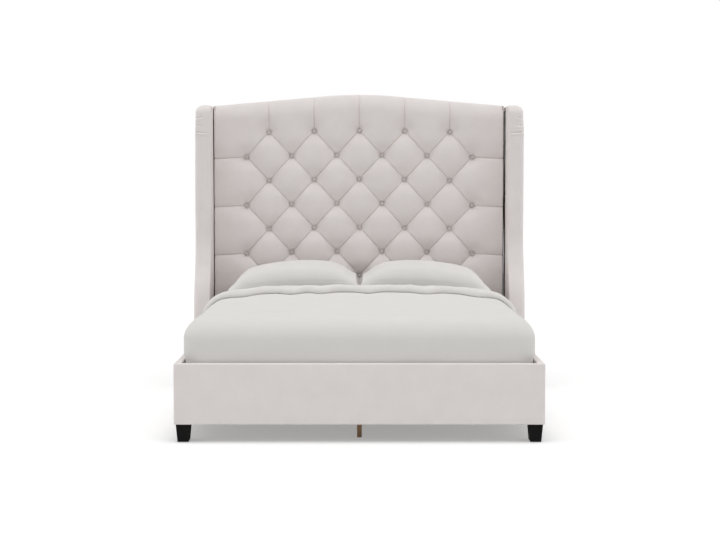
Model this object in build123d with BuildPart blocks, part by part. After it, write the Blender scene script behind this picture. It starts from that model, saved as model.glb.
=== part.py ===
from build123d import *
import os

os.makedirs("parts", exist_ok=True)

# An upholstered bed: tufted, arched headboard between two wings, padded side rails
# and footboard, slats on ledgers and a centre beam, mattress, duvet and two pillows.
# Millimetres. The origin is on the floor under the middle of the bed,
# the foot end points to -Y, the headboard to +Y, and up is +Z.

# Whole bed, built round its mattress
mattress_width = 1524
mattress_length = 2032
mattress_height = 280
leg_height = 84
headboard_top = 1682

# Clearances
soft_gap = 0.3
lining_gap = 0.9
hole_gap = 0.25
overrun = 5

# Side rails and footboard: a board in a padded cover
rail_height = 279
rail_thickness = 32
rail_padding = 5
rail_edge_radius = 3

# Legs, foot glides and the blocks that the legs are bolted to
leg_top_width = 64
leg_bottom_width = 50
leg_top_depth = 105
leg_bottom_depth = 94
leg_side_inset = 7.5
leg_front_inset = 11
leg_edge_radius = 3
glide_radius = 16
glide_thickness = 3
block_width = 62
block_depth = 85
block_slat_gap = 6

# Bolts and screws
bolt_radius = 4
bolt_bite = 30
board_bite = 17
screw_radius = 2
screw_bite = 18
head_ratio_share = 1.9

# Slats, ledgers and centre beam
slat_count = 12
slat_width = 70
slat_thickness = 20
slat_drop = 113
slat_side_gap = 5
slat_end_margin = 60
slat_edge_radius = 2
ledger_thickness = 25
ledger_height = 40
ledger_screw_count = 6
ledger_screw_rise = 8
beam_width = 38
beam_height = 50
hanger_sheet = 2.5
hanger_length = 45
support_count = 4
support_width = 22
support_first = 176
support_bolt_radius = 3
support_pad_thickness = 2

# Headboard, from its back to its front
head_cloth_thickness = 2
head_frame_depth = 45
head_panel_thickness = 12
pad_slab = 26
pad_crown = 30
pad_rim = 18
pad_front_inset = 6
pad_cell_margin = 4
arch_half = 268
arch_drop = 14.5
corner_drop = 65
post_width = 70
top_rail_height = 90
low_rail_rise = 36
low_rail_over = 10
mid_rail_height = 60
mid_rail_pitches = 4.5
cloth_bottom = 100

# Tufting: rows of buttons, alternately five and six to a row
row_count = 7
button_side_margin = 190
first_row_drop = 207
last_row_rise = 272
row_arch_drop = 13
button_radius = 14
button_height = 9
button_edge_radius = 4.5
button_gap = 1
pleat_gap = 3
twine_radius = 1.25
toggle_radius = 5
toggle_thickness = 2
# Height and size of each slice of a tuft, as shares of its crown and its outline
tuft_shares = ((0, 1), (0.46, 0.93), (0.82, 0.76), (1, 0.46))

# Wings at the sides of the headboard
wing_thickness = 90
wing_gap = 0.5
wing_drop = 2
wing_depth_high = 280
wing_depth_low = 393
wing_bend_low = 390
wing_bend_high = 880
wing_front_corner = 45
wing_outer_corner = 42
wing_edge_radius = 16
wing_core_thickness = 42
wing_front_padding = 22
wing_back_padding = 4
# Heights of the bolts, as shares of the wing's height
wing_bolt_shares = (0.21, 0.53, 0.86)

# Mattress in the frame, and its two border tapes
mattress_side_gap = 51
mattress_foot_gap = 43
mattress_head_gap = 13
mattress_corner_radius = 60
tape_radius = 5
tape_round = 4

# Duvet with its turned-down fold: its heights count from the mattress's top
duvet_foot_gap = 13
duvet_side_gap = 18
duvet_hem_drop = 38
duvet_foot_rise = 24
duvet_head_rise = 64
duvet_crown_rise = 70
duvet_shoulder_rise = 18
duvet_shoulder_inset = 100
duvet_shoulder_round = 125
duvet_puff = 40
duvet_puff_drop = 68
duvet_foot_round = 76
duvet_corner_radius = 70
duvet_taper_length = 900
fold_width = 160
fold_rise = 41
fold_lip_round = 26
fold_side_drop = 72
fold_side_puff = 8

# Pillows
pillow_side_gap = 22.5
pillow_head_gap = 30
pillow_depth = 476
pillow_height = 198
pillow_apart = 7
pillow_front_gap = 14
pillow_side_draw = 16
pillow_end_draw = 10
# Height and size of each slice of a pillow, as shares of its height and its outline
pillow_shares = (
    (0, 0.70), (0.08, 0.88), (0.20, 0.965), (0.36, 1),
    (0.54, 0.955), (0.72, 0.84), (0.87, 0.66), (0.96, 0.47), (1, 0.30),
)

# Places that follow from the sizes
frame_width = mattress_width + 2 * (mattress_side_gap + rail_thickness)
headboard_depth = pad_crown + pad_slab + head_panel_thickness + head_frame_depth + head_cloth_thickness
mattress_room = mattress_foot_gap + mattress_length + mattress_head_gap
bed_length = rail_thickness + mattress_room + headboard_depth
half_width = frame_width / 2
foot_face = -bed_length / 2
head_back = bed_length / 2
rail_top = leg_height + rail_height
rail_inner = half_width - rail_thickness
footboard_back = foot_face + rail_thickness
cloth_face = head_back - head_cloth_thickness
head_frame_face = cloth_face - head_frame_depth
head_panel_face = head_frame_face - head_panel_thickness
pad_face = head_panel_face - pad_slab
pad_bottom = rail_top + soft_gap
post_outer = half_width - pad_rim
post_inner = post_outer - post_width
block_inner = rail_inner - block_width
block_middle = rail_inner - block_width / 2
slat_top = rail_top - slat_drop
slat_bottom = slat_top - slat_thickness
block_height = slat_bottom - block_slat_gap - leg_height
ledger_bottom = slat_bottom - ledger_height
beam_bottom = slat_bottom - beam_height
low_rail_bottom = leg_height + low_rail_rise
low_rail_height = slat_top + low_rail_over - low_rail_bottom
button_pitch = (frame_width - 2 * button_side_margin) / 5
first_row = headboard_top - first_row_drop
last_row = rail_top + last_row_rise
row_pitch = (first_row - last_row) / (row_count - 1)
mid_rail_bottom = first_row - mid_rail_pitches * row_pitch - mid_rail_height / 2
wing_inner = half_width + wing_gap
wing_outer = wing_inner + wing_thickness
wing_top = headboard_top - corner_drop - wing_drop
wing_bolt_levels = [leg_height + share * (wing_top - leg_height) for share in wing_bolt_shares]
mattress_foot = footboard_back + mattress_foot_gap
mattress_bottom = slat_top + soft_gap
mattress_top = mattress_bottom + mattress_height
pillow_width = (mattress_width - pillow_apart) / 2 - pillow_side_gap
pillow_bottom = mattress_top + soft_gap
pillow_front = pad_face - pad_crown - pillow_head_gap - pillow_depth
duvet_foot = footboard_back + duvet_foot_gap
duvet_end = pillow_front - pillow_front_gap
duvet_hem = rail_top - duvet_hem_drop
duvet_head_top = mattress_top + duvet_head_rise
bottom_up = (Align.CENTER, Align.CENTER, Align.MIN)


def save(part, name):
    """Label a finished piece and write it to its own file."""
    part.label = name
    export_step(part, f"parts/{name}.step")


def across(y):
    """The upright plane across the bed at y: its own axes are X and Z, facing the foot."""
    return Plane.XZ.offset(-y)


def rods(places, direction, radius, length):
    """Round rods that start at the places and run along the direction."""
    with BuildPart() as made:
        with Locations(*[Plane(origin=place, z_dir=direction) for place in places]):
            Cylinder(radius, length, align=bottom_up)
    return made.part


def bolts(places, direction, radius, length):
    """Bolts whose shanks run along the direction and whose round heads face back."""
    backwards = tuple(-value for value in direction)
    with BuildPart() as made:
        add(rods(places, direction, radius, length))
        add(rods(places, backwards, head_ratio_share * radius, radius))
    return made.part


def holes(places, direction, radius, length):
    """Clearance holes for rods or bolts at the places."""
    return rods(places, direction, radius + hole_gap, length + hole_gap)


# Bolt places, shared by the bolts and by the holes that they pass through
def rail_bolt_places(side, block_y):
    """The two bolts from a block sideways into its side rail."""
    levels = (leg_height + block_height / 2, leg_height + block_height * 6 / 7)
    return [(side * block_inner, block_y, level) for level in levels]


def end_bolt_places(side, block_face):
    """The two bolts from a block into the footboard or the headboard."""
    levels = (leg_height + block_height / 3, leg_height + block_height * 2 / 3)
    return [(side * block_middle, block_face, level) for level in levels]


def wing_bolt_places(side):
    """The bolts from a headboard post out into a wing."""
    middle = head_frame_face + head_frame_depth / 2
    return [(side * post_inner, middle, level) for level in wing_bolt_levels]


def ledger_screw_places(side):
    """The screws from a ledger into its side rail."""
    level = ledger_bottom + ledger_screw_rise
    step = (ledger_back - ledger_front) / ledger_screw_count
    return [
        (side * (rail_inner - ledger_thickness), ledger_front + step * (number + 1 / 2), level)
        for number in range(ledger_screw_count)
    ]


front_block_back = footboard_back + block_depth
rear_block_front = head_panel_face - block_depth
front_block_middle = footboard_back + block_depth / 2
rear_block_middle = head_panel_face - block_depth / 2
ledger_front = front_block_back
ledger_back = rear_block_front
rail_bolt_length = block_width + rail_padding + board_bite
front_bolt_length = block_depth + rail_padding + board_bite
rear_bolt_length = block_depth + head_panel_thickness + bolt_bite
ledger_screw_length = ledger_thickness + rail_padding + board_bite
wing_cover_wall = (wing_thickness - wing_core_thickness) / 2
wing_bolt_length = post_width + pad_rim + wing_gap + wing_cover_wall + bolt_bite


# Footboard
def footboard():
    with BuildPart() as core:
        with BuildSketch(Plane.XY.offset(leg_height)):
            with Locations((0, foot_face + rail_thickness / 2)):
                Rectangle(frame_width - 2 * rail_padding, rail_thickness - 2 * rail_padding)
        extrude(amount=rail_height - rail_padding)
    with BuildPart() as cover:
        with BuildSketch(Plane.XY.offset(leg_height)):
            with Locations((0, foot_face + rail_thickness / 2)):
                Rectangle(frame_width, rail_thickness)
        extrude(amount=rail_height)
        upright = cover.edges().group_by(Axis.Y)[0].filter_by(Axis.Z)
        fillet(cover.edges().group_by(Axis.Z)[-1] + upright, rail_edge_radius)
        add(core.part, mode=Mode.SUBTRACT)
        for side in (-1, 1):
            places = end_bolt_places(side, front_block_back)
            add(holes(places, (0, -1, 0), bolt_radius, front_bolt_length), mode=Mode.SUBTRACT)
    with BuildPart() as drilled:
        add(core.part)
        for side in (-1, 1):
            places = end_bolt_places(side, front_block_back)
            add(holes(places, (0, -1, 0), bolt_radius, front_bolt_length), mode=Mode.SUBTRACT)
    save(drilled.part, "footboard_core")
    save(cover.part, "footboard_cover")


# Side rails
def rail_holes(side):
    """Everything that is drilled into a side rail."""
    with BuildPart() as drilled:
        for middle in (front_block_middle, rear_block_middle):
            places = rail_bolt_places(side, middle)
            add(holes(places, (side, 0, 0), bolt_radius, rail_bolt_length))
        screws = ledger_screw_places(side)
        add(holes(screws, (side, 0, 0), screw_radius, ledger_screw_length))
    return drilled.part


def side_rail(side, name):
    middle = side * (half_width - rail_thickness / 2)
    length = head_panel_face - footboard_back
    with BuildPart() as core:
        with BuildSketch(Plane.XY.offset(leg_height)):
            with Locations((middle, footboard_back + length / 2)):
                Rectangle(rail_thickness - 2 * rail_padding, length)
        extrude(amount=rail_height - rail_padding)
    with BuildPart() as cover:
        with BuildSketch(Plane.XY.offset(leg_height)):
            with Locations((middle, footboard_back + length / 2)):
                Rectangle(rail_thickness, length)
        extrude(amount=rail_height)
        fillet(cover.edges().group_by(Axis.Z)[-1].filter_by(Axis.Y), rail_edge_radius)
        add(core.part, mode=Mode.SUBTRACT)
        add(rail_holes(side), mode=Mode.SUBTRACT)
    with BuildPart() as drilled:
        add(core.part)
        add(rail_holes(side), mode=Mode.SUBTRACT)
    save(drilled.part, f"side_rail_core_{name}")
    save(cover.part, f"side_rail_cover_{name}")


# Corner blocks, legs and glides
def leg_block(side, front, name):
    middle = front_block_middle if front else rear_block_middle
    with BuildPart() as block:
        with BuildSketch(Plane.XY.offset(leg_height)):
            with Locations((side * block_middle, middle)):
                Rectangle(block_width, block_depth)
        extrude(amount=block_height)
        places = rail_bolt_places(side, middle)
        add(holes(places, (side, 0, 0), bolt_radius, rail_bolt_length), mode=Mode.SUBTRACT)
        if front:
            places = end_bolt_places(side, front_block_back)
            add(holes(places, (0, -1, 0), bolt_radius, front_bolt_length), mode=Mode.SUBTRACT)
        else:
            places = end_bolt_places(side, rear_block_front)
            add(holes(places, (0, 1, 0), bolt_radius, rear_bolt_length), mode=Mode.SUBTRACT)
        foot = [(side * block_middle, middle, leg_height)]
        add(holes(foot, (0, 0, 1), bolt_radius, bolt_bite), mode=Mode.SUBTRACT)
    save(block.part, f"leg_block_{name}")


def leg_centre(front):
    """The Y of a leg's middle: front legs stand back from the face, rear legs from the back."""
    if front:
        return foot_face + leg_front_inset + leg_top_depth / 2
    return head_back - leg_front_inset - leg_top_depth / 2


def leg(side, front, name):
    """A block leg that tapers on all four sides down to its glide."""
    middle_x = side * (half_width - leg_side_inset - leg_top_width / 2)
    middle_y = leg_centre(front)
    bolt_y = front_block_middle if front else rear_block_middle
    with BuildPart() as made:
        with BuildSketch(Plane.XY.offset(glide_thickness)):
            with Locations((middle_x, middle_y)):
                Rectangle(leg_bottom_width, leg_bottom_depth)
        with BuildSketch(Plane.XY.offset(leg_height)):
            with Locations((middle_x, middle_y)):
                Rectangle(leg_top_width, leg_top_depth)
        loft(ruled=True)
        upright = made.edges().filter_by(lambda edge: abs(edge.tangent_at(0).Z) > 1 / 2)
        fillet(upright, leg_edge_radius)
        bolt = [(side * block_middle, bolt_y, leg_height)]
        add(holes(bolt, (0, 0, -1), bolt_radius, bolt_bite), mode=Mode.SUBTRACT)
    save(made.part, name)
    return middle_x, middle_y


def legs():
    glides = []
    hangers = []
    for front, end in ((True, "front"), (False, "rear")):
        bolt_y = front_block_middle if front else rear_block_middle
        for side, hand in ((-1, "left"), (1, "right")):
            leg_block(side, front, f"{end}_{hand}")
            glides.append(leg(side, front, f"{end}_leg_{hand}"))
            hangers.append((side * block_middle, bolt_y, leg_height - bolt_bite))
    with BuildPart() as foot_glides:
        with Locations(*[(x, y, 0) for x, y in glides]):
            Cylinder(glide_radius, glide_thickness, align=bottom_up)
    save(foot_glides.part, "foot_glides")
    places = [(0, y, beam_bottom - bolt_bite) for y in support_middles()]
    with BuildPart() as hanger_bolts:
        add(rods(hangers, (0, 0, 1), bolt_radius, 2 * bolt_bite))
        add(rods(places, (0, 0, 1), support_bolt_radius, 2 * bolt_bite))
    save(hanger_bolts.part, "leg_hanger_bolts")


def frame_bolts():
    """The bolts that hold the blocks to the rails, the footboard and the headboard."""
    with BuildPart() as made:
        for side in (-1, 1):
            for middle in (front_block_middle, rear_block_middle):
                places = rail_bolt_places(side, middle)
                add(bolts(places, (side, 0, 0), bolt_radius, rail_bolt_length))
            places = end_bolt_places(side, front_block_back)
            add(bolts(places, (0, -1, 0), bolt_radius, front_bolt_length))
            places = end_bolt_places(side, rear_block_front)
            add(bolts(places, (0, 1, 0), bolt_radius, rear_bolt_length))
    save(made.part, "frame_bolts")


# Ledgers, slats and their screws
def slat_middles():
    """The Y of each slat's middle, evenly spaced between the two ends of the bed frame."""
    first = footboard_back + slat_end_margin
    step = (head_panel_face - slat_end_margin - first) / (slat_count - 1)
    return [first + step * number for number in range(slat_count)]


def slat_screw_places(side, middles):
    """One screw at each slat's end, down through the slat into the ledger."""
    return [(side * (rail_inner - ledger_thickness / 2), y, slat_top - screw_radius) for y in middles]


def held_slats():
    """The slats whose ends lie over the ledgers rather than over the corner blocks."""
    return [y for y in slat_middles() if ledger_front < y - screw_radius and y + screw_radius < ledger_back]


def ledger(side, name):
    with BuildPart() as made:
        with BuildSketch(Plane.XY.offset(ledger_bottom)):
            with Locations((side * (rail_inner - ledger_thickness / 2), (ledger_front + ledger_back) / 2)):
                Rectangle(ledger_thickness, ledger_back - ledger_front)
        extrude(amount=ledger_height)
        screws = ledger_screw_places(side)
        add(holes(screws, (side, 0, 0), screw_radius, ledger_screw_length), mode=Mode.SUBTRACT)
        places = slat_screw_places(side, held_slats())
        length = slat_thickness + screw_bite
        add(holes(places, (0, 0, -1), screw_radius, length), mode=Mode.SUBTRACT)
    save(made.part, f"slat_ledger_{name}")


def slats():
    length = 2 * (rail_inner - slat_side_gap)
    for number, middle in enumerate(slat_middles(), start=1):
        with BuildPart() as slat:
            with BuildSketch(Plane.XY.offset(slat_bottom)):
                with Locations((0, middle)):
                    Rectangle(length, slat_width)
            extrude(amount=slat_thickness)
            fillet(slat.edges().filter_by(Axis.X), slat_edge_radius)
            if middle in held_slats():
                for side in (-1, 1):
                    places = slat_screw_places(side, [middle])
                    shank = slat_thickness + overrun
                    add(holes(places, (0, 0, -1), screw_radius, shank), mode=Mode.SUBTRACT)
                    head = head_ratio_share * screw_radius
                    add(holes(places, (0, 0, 1), head, screw_radius + overrun), mode=Mode.SUBTRACT)
        save(slat.part, f"slat_{number:02d}")
    with BuildPart() as screws:
        for side in (-1, 1):
            places = slat_screw_places(side, held_slats())
            add(bolts(places, (0, 0, -1), screw_radius, slat_thickness + screw_bite - screw_radius))
            places = ledger_screw_places(side)
            add(bolts(places, (side, 0, 0), screw_radius, ledger_screw_length))
    save(screws.part, "wood_screws")


# Centre beam on support legs
def support_middles():
    first = foot_face + support_first
    step = (head_panel_face - support_first + rail_thickness - first) / (support_count - 1)
    return [first + step * number for number in range(support_count)]


def centre_beam():
    front = footboard_back + hanger_sheet
    back = head_frame_face - hanger_sheet
    places = [(0, y, beam_bottom) for y in support_middles()]
    with BuildPart() as beam:
        with BuildSketch(Plane.XY.offset(beam_bottom)):
            with Locations((0, (front + back) / 2)):
                Rectangle(beam_width, back - front)
        extrude(amount=beam_height)
        add(holes(places, (0, 0, 1), support_bolt_radius, bolt_bite), mode=Mode.SUBTRACT)
    save(beam.part, "centre_beam")
    return front, back


def beam_hangers(front, back):
    """Folded steel saddles that hold the beam's ends: a back plate, two cheeks and a floor."""
    outer = beam_width + 2 * (hole_gap + hanger_sheet)
    low = beam_bottom - hole_gap - hanger_sheet
    with BuildPart() as made:
        for wall, direction in ((footboard_back, 1), (head_frame_face, -1)):
            with BuildSketch(Plane.XY.offset(low)):
                with Locations((0, wall + direction * hanger_length / 2)):
                    Rectangle(outer, hanger_length)
            extrude(amount=slat_bottom - low)
        with BuildSketch(Plane.XY.offset(beam_bottom - hole_gap)):
            with Locations((0, (front + back) / 2)):
                Rectangle(beam_width + 2 * hole_gap, back - front)
        extrude(amount=beam_height + overrun, mode=Mode.SUBTRACT)
    save(made.part, "beam_hangers")


def support_legs():
    width = support_width
    for number, middle in enumerate(support_middles(), start=1):
        with BuildPart() as made:
            with BuildSketch(Plane.XY.offset(support_pad_thickness)):
                with Locations((0, middle)):
                    Rectangle(width, width)
            extrude(amount=beam_bottom - support_pad_thickness)
            top = [(0, middle, beam_bottom)]
            add(holes(top, (0, 0, -1), support_bolt_radius, bolt_bite), mode=Mode.SUBTRACT)
        save(made.part, f"support_leg_{number}")
    with BuildPart() as pads:
        with Locations(*[(0, y, 0) for y in support_middles()]):
            Cylinder(width / 2, support_pad_thickness, align=bottom_up)
    save(pads.part, "support_leg_pads")


# Headboard
def headboard_outline(side_inset, top_inset, bottom):
    """The arched outline, set in at the sides and the top: straight flanks, a round middle."""
    half = half_width - side_inset
    top = headboard_top - top_inset
    right = (half, top - corner_drop)
    left = (-half, top - corner_drop)
    right_shoulder = (arch_half, top - arch_drop)
    left_shoulder = (-arch_half, top - arch_drop)
    with BuildSketch() as face:
        with BuildLine():
            Polyline(left_shoulder, left, (-half, bottom), (half, bottom), right, right_shoulder)
            ThreePointArc(left_shoulder, (0, top), right_shoulder)
        make_face()
    return face.sketch


def button_place(row, column):
    """A button's X and Z: columns count half pitches from the middle, rows from the top."""
    x = column * button_pitch / 2
    outer = 5 * button_pitch / 2
    return x, first_row - row * row_pitch - row_arch_drop * (x / outer) ** 2


def row_columns(row):
    """The columns of a row's buttons: five in the first row and every other one, else six."""
    return range(-4, 5, 2) if row % 2 == 0 else range(-5, 6, 2)


def button_places():
    return [button_place(row, column) for row in range(row_count) for column in row_columns(row)]


def pad_top(x):
    """The height of the tufting's top edge: just inside the headboard's outline."""
    top = headboard_top - pad_front_inset - pad_cell_margin
    if abs(x) > arch_half:
        slope = (corner_drop - arch_drop) / (half_width - arch_half)
        return top - arch_drop - slope * (abs(x) - arch_half)
    return top - arch_drop * (x / arch_half) ** 2


def diamond(row, column):
    """The four buttons round a diamond in the middle of the pad."""
    return [
        button_place(row, column - 1), button_place(row - 1, column),
        button_place(row, column + 1), button_place(row + 1, column),
    ]


def mirrored(points):
    return [(-x, z) for x, z in points]


def side_cells(edge, low):
    """The fields between the outer buttons and the sides of the pad, on the right."""
    last = row_count - 1
    corner = button_place(0, 4)
    shoulder = button_place(1, 5)
    cells = [[corner, (corner[0], pad_top(corner[0])), (edge, pad_top(edge)), (edge, shoulder[1]), shoulder]]
    for row in range(2, last, 2):
        above = button_place(row - 1, 5)
        below = button_place(row + 1, 5)
        cells.append([button_place(row, 4), above, (edge, above[1]), (edge, below[1]), below])
    corner = button_place(last, 4)
    above = button_place(last - 1, 5)
    cells.append([corner, above, (edge, above[1]), (edge, low), (corner[0], low)])
    return cells


def tuft_outlines():
    """The outline of every field between the pleats, as lists of X and Z."""
    edge = half_width - pad_front_inset - pad_cell_margin
    low = pad_bottom + pad_cell_margin
    last = row_count - 1
    cells = []
    for row in range(1, last, 2):
        cells += [diamond(row, column) for column in range(-4, 5, 2)]
    for row in range(2, last, 2):
        cells += [diamond(row, column) for column in (-3, -1, 1, 3)]
    for column in (-3, -1, 1, 3):
        left = button_place(0, column - 1)
        right = button_place(0, column + 1)
        below = button_place(1, column)
        tops = [(right[0], pad_top(right[0])), (left[0], pad_top(left[0]))]
        cells.append([left, below, right] + tops)
        left = button_place(last, column - 1)
        right = button_place(last, column + 1)
        above = button_place(last - 1, column)
        cells.append([left, above, right, (right[0], low), (left[0], low)])
    for cell in side_cells(edge, low):
        cells += [cell, mirrored(cell)]
    return cells


def tuft(points):
    """One padded field: slices of its outline that shrink towards its crown."""
    middle_x = sum(x for x, _ in points) / len(points)
    middle_z = sum(z for _, z in points) / len(points)
    reach = min(abs(middle_x - x) + abs(middle_z - z) for x, z in points)
    start = 1 - 2 * pleat_gap / reach
    with BuildPart() as made:
        for height, size in tuft_shares:
            grown = start * size
            ring = [
                (middle_x + (x - middle_x) * grown, middle_z + (z - middle_z) * grown)
                for x, z in points
            ]
            with BuildSketch(across(pad_face - height * pad_crown)):
                with BuildLine():
                    Polyline(*ring, close=True)
                make_face()
        loft(ruled=True)
    return made.part


def headboard_pad():
    buttons = [(x, pad_face, z) for x, z in button_places()]
    with BuildPart() as pad:
        with BuildSketch(across(head_panel_face)):
            add(headboard_outline(pad_front_inset, pad_front_inset, pad_bottom))
        extrude(amount=pad_slab)
        with BuildSketch(across(cloth_face)):
            add(headboard_outline(0, 0, pad_bottom))
            add(headboard_outline(pad_rim, pad_rim, pad_bottom - overrun), mode=Mode.SUBTRACT)
        extrude(amount=cloth_face - head_panel_face)
        add([tuft(points) for points in tuft_outlines()])
        pocket = button_radius + button_gap
        add(rods(buttons, (0, -1, 0), pocket, pad_crown + overrun), mode=Mode.SUBTRACT)
        add(holes(buttons, (0, 1, 0), twine_radius, pad_slab + overrun), mode=Mode.SUBTRACT)
        for side in (-1, 1):
            places = wing_bolt_places(side)
            add(holes(places, (side, 0, 0), bolt_radius, wing_bolt_length), mode=Mode.SUBTRACT)
    save(pad.part, "headboard_pad")


def tuft_buttons():
    planes = [Plane(origin=(x, pad_face, z), z_dir=(0, -1, 0)) for x, z in button_places()]
    with BuildPart() as button:
        Cylinder(button_radius, button_height, align=bottom_up)
        fillet(button.edges().group_by(Axis.Z)[-1], button_edge_radius)
    with BuildPart() as buttons:
        with Locations(*planes):
            add(button.part)
    save(buttons.part, "tuft_buttons")
    places = [(x, pad_face, z) for x, z in button_places()]
    backs = [(x, head_frame_face, z) for x, z in button_places()]
    with BuildPart() as twines:
        add(rods(places, (0, 1, 0), twine_radius, pad_slab + head_panel_thickness))
        add(rods(backs, (0, 1, 0), toggle_radius, toggle_thickness))
    save(twines.part, "button_twines")


def headboard_panel():
    buttons = [(x, head_panel_face, z) for x, z in button_places()]
    with BuildPart() as panel:
        with BuildSketch(across(head_frame_face)):
            add(headboard_outline(pad_rim, pad_rim, low_rail_bottom))
        extrude(amount=head_panel_thickness)
        length = head_panel_thickness + overrun
        add(holes(buttons, (0, 1, 0), twine_radius, length), mode=Mode.SUBTRACT)
        for side in (-1, 1):
            places = end_bolt_places(side, rear_block_front)
            add(holes(places, (0, 1, 0), bolt_radius, rear_bolt_length), mode=Mode.SUBTRACT)
        outer = beam_width + 2 * (hole_gap + hanger_sheet)
        low = beam_bottom - hole_gap - hanger_sheet
        with BuildSketch(across(head_frame_face + overrun)):
            with Locations((0, (low + slat_top) / 2)):
                Rectangle(outer + 2 * hole_gap, slat_top - low + 2 * hole_gap)
        extrude(amount=head_panel_thickness + 2 * overrun, mode=Mode.SUBTRACT)
    save(panel.part, "headboard_panel")


def headboard_frame():
    """Two posts, an arched top rail and two cross rails."""
    for side, name in ((-1, "left"), (1, "right")):
        with BuildPart() as post:
            with BuildSketch(across(cloth_face)):
                add(headboard_outline(pad_rim, pad_rim, leg_height))
                with Locations((side * (post_inner + post_outer) / 2, headboard_top / 2)):
                    Rectangle(post_width, headboard_top, mode=Mode.INTERSECT)
                add(top_rail_outline(), mode=Mode.SUBTRACT)
            extrude(amount=head_frame_depth)
            places = wing_bolt_places(side)
            add(holes(places, (side, 0, 0), bolt_radius, wing_bolt_length), mode=Mode.SUBTRACT)
            places = end_bolt_places(side, rear_block_front)
            add(holes(places, (0, 1, 0), bolt_radius, rear_bolt_length), mode=Mode.SUBTRACT)
        save(post.part, f"headboard_post_{name}")
    with BuildPart() as top_rail:
        with BuildSketch(across(cloth_face)):
            add(top_rail_outline())
        extrude(amount=head_frame_depth)
    save(top_rail.part, "headboard_top_rail")
    rails = (("low", low_rail_bottom, low_rail_height), ("mid", mid_rail_bottom, mid_rail_height))
    for name, bottom, height in rails:
        with BuildPart() as rail:
            with BuildSketch(across(cloth_face)):
                with Locations((0, bottom + height / 2)):
                    Rectangle(2 * post_inner, height)
            extrude(amount=head_frame_depth)
        save(rail.part, f"headboard_{name}_rail")


def top_rail_outline():
    """A band as high as the top rail, under the padded rim of the arch."""
    with BuildSketch() as face:
        add(headboard_outline(pad_rim, pad_rim, low_rail_bottom))
        below = headboard_outline(pad_rim - overrun, pad_rim + top_rail_height, low_rail_bottom - overrun)
        add(below, mode=Mode.SUBTRACT)
    return face.sketch


def headboard_back_cloth():
    with BuildPart() as cloth:
        with BuildSketch(across(head_back)):
            add(headboard_outline(head_cloth_thickness, head_cloth_thickness, cloth_bottom))
        extrude(amount=head_cloth_thickness)
    save(cloth.part, "headboard_back_cloth")


# Wings
def wing_profile(inset, back_inset):
    """A wing from the side, its axes Y and Z: straight back, front that swells forward low down."""
    back = head_back - back_inset
    low_front = head_back - wing_depth_low + inset
    high_front = head_back - wing_depth_high + inset
    top = wing_top - inset
    low_bend = (low_front, wing_bend_low)
    high_bend = (high_front, wing_bend_high)
    middle = ((low_front + high_front) / 2, (wing_bend_low + wing_bend_high) / 2)
    with BuildSketch() as face:
        with BuildLine():
            Polyline(high_bend, (high_front, top), (back, top))
            Polyline((back, top), (back, leg_height), (low_front, leg_height), low_bend)
            lower = TangentArc(low_bend, middle, tangent=(0, 1))
            TangentArc(middle, high_bend, tangent=lower % 1)
        make_face()
        corner = face.vertices().group_by(Axis.Y)[-1].sort_by(Axis.X)[0]
        fillet(corner, wing_front_corner - inset)
    return face.sketch


def wing(side, name):
    places = wing_bolt_places(side)
    core_inner = wing_inner + wing_cover_wall
    with BuildPart() as core:
        with BuildSketch(Plane.YZ.offset(side * core_inner)):
            add(wing_profile(wing_front_padding, wing_back_padding))
        extrude(amount=side * wing_core_thickness)
    with BuildPart() as cover:
        with BuildSketch(Plane.YZ.offset(side * wing_inner)):
            add(wing_profile(0, 0))
        extrude(amount=side * wing_thickness)
        around = cover.edges().filter_by(lambda edge: abs(edge.tangent_at(1 / 2).X) < 1 / 2)
        front = around.filter_by(lambda edge: edge.center().Y < head_back - wing_edge_radius)
        upper = front.filter_by(lambda edge: edge.center().Z > leg_height + wing_edge_radius)
        fillet(upper, wing_edge_radius)
        with BuildSketch(across(head_back + overrun)):
            with BuildLine():
                inner = side * (wing_inner - overrun)
                outer = side * wing_outer
                low = leg_height - overrun
                turn = side * (wing_outer - wing_outer_corner)
                Polyline((turn, wing_top), (inner, wing_top), (inner, low), (outer, low),
                         (outer, wing_top - wing_outer_corner))
                TangentArc((turn, wing_top), (outer, wing_top - wing_outer_corner), tangent=(side, 0))
            make_face()
        extrude(amount=wing_depth_low + 2 * overrun, mode=Mode.INTERSECT)
        add(core.part, mode=Mode.SUBTRACT)
        add(holes(places, (side, 0, 0), bolt_radius, wing_bolt_length), mode=Mode.SUBTRACT)
    with BuildPart() as drilled:
        add(core.part)
        add(holes(places, (side, 0, 0), bolt_radius, wing_bolt_length), mode=Mode.SUBTRACT)
    save(drilled.part, f"wing_core_{name}")
    save(cover.part, f"wing_cover_{name}")


def wing_bolts():
    with BuildPart() as made:
        for side in (-1, 1):
            add(bolts(wing_bolt_places(side), (side, 0, 0), bolt_radius, wing_bolt_length))
    save(made.part, "wing_bolts")


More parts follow.
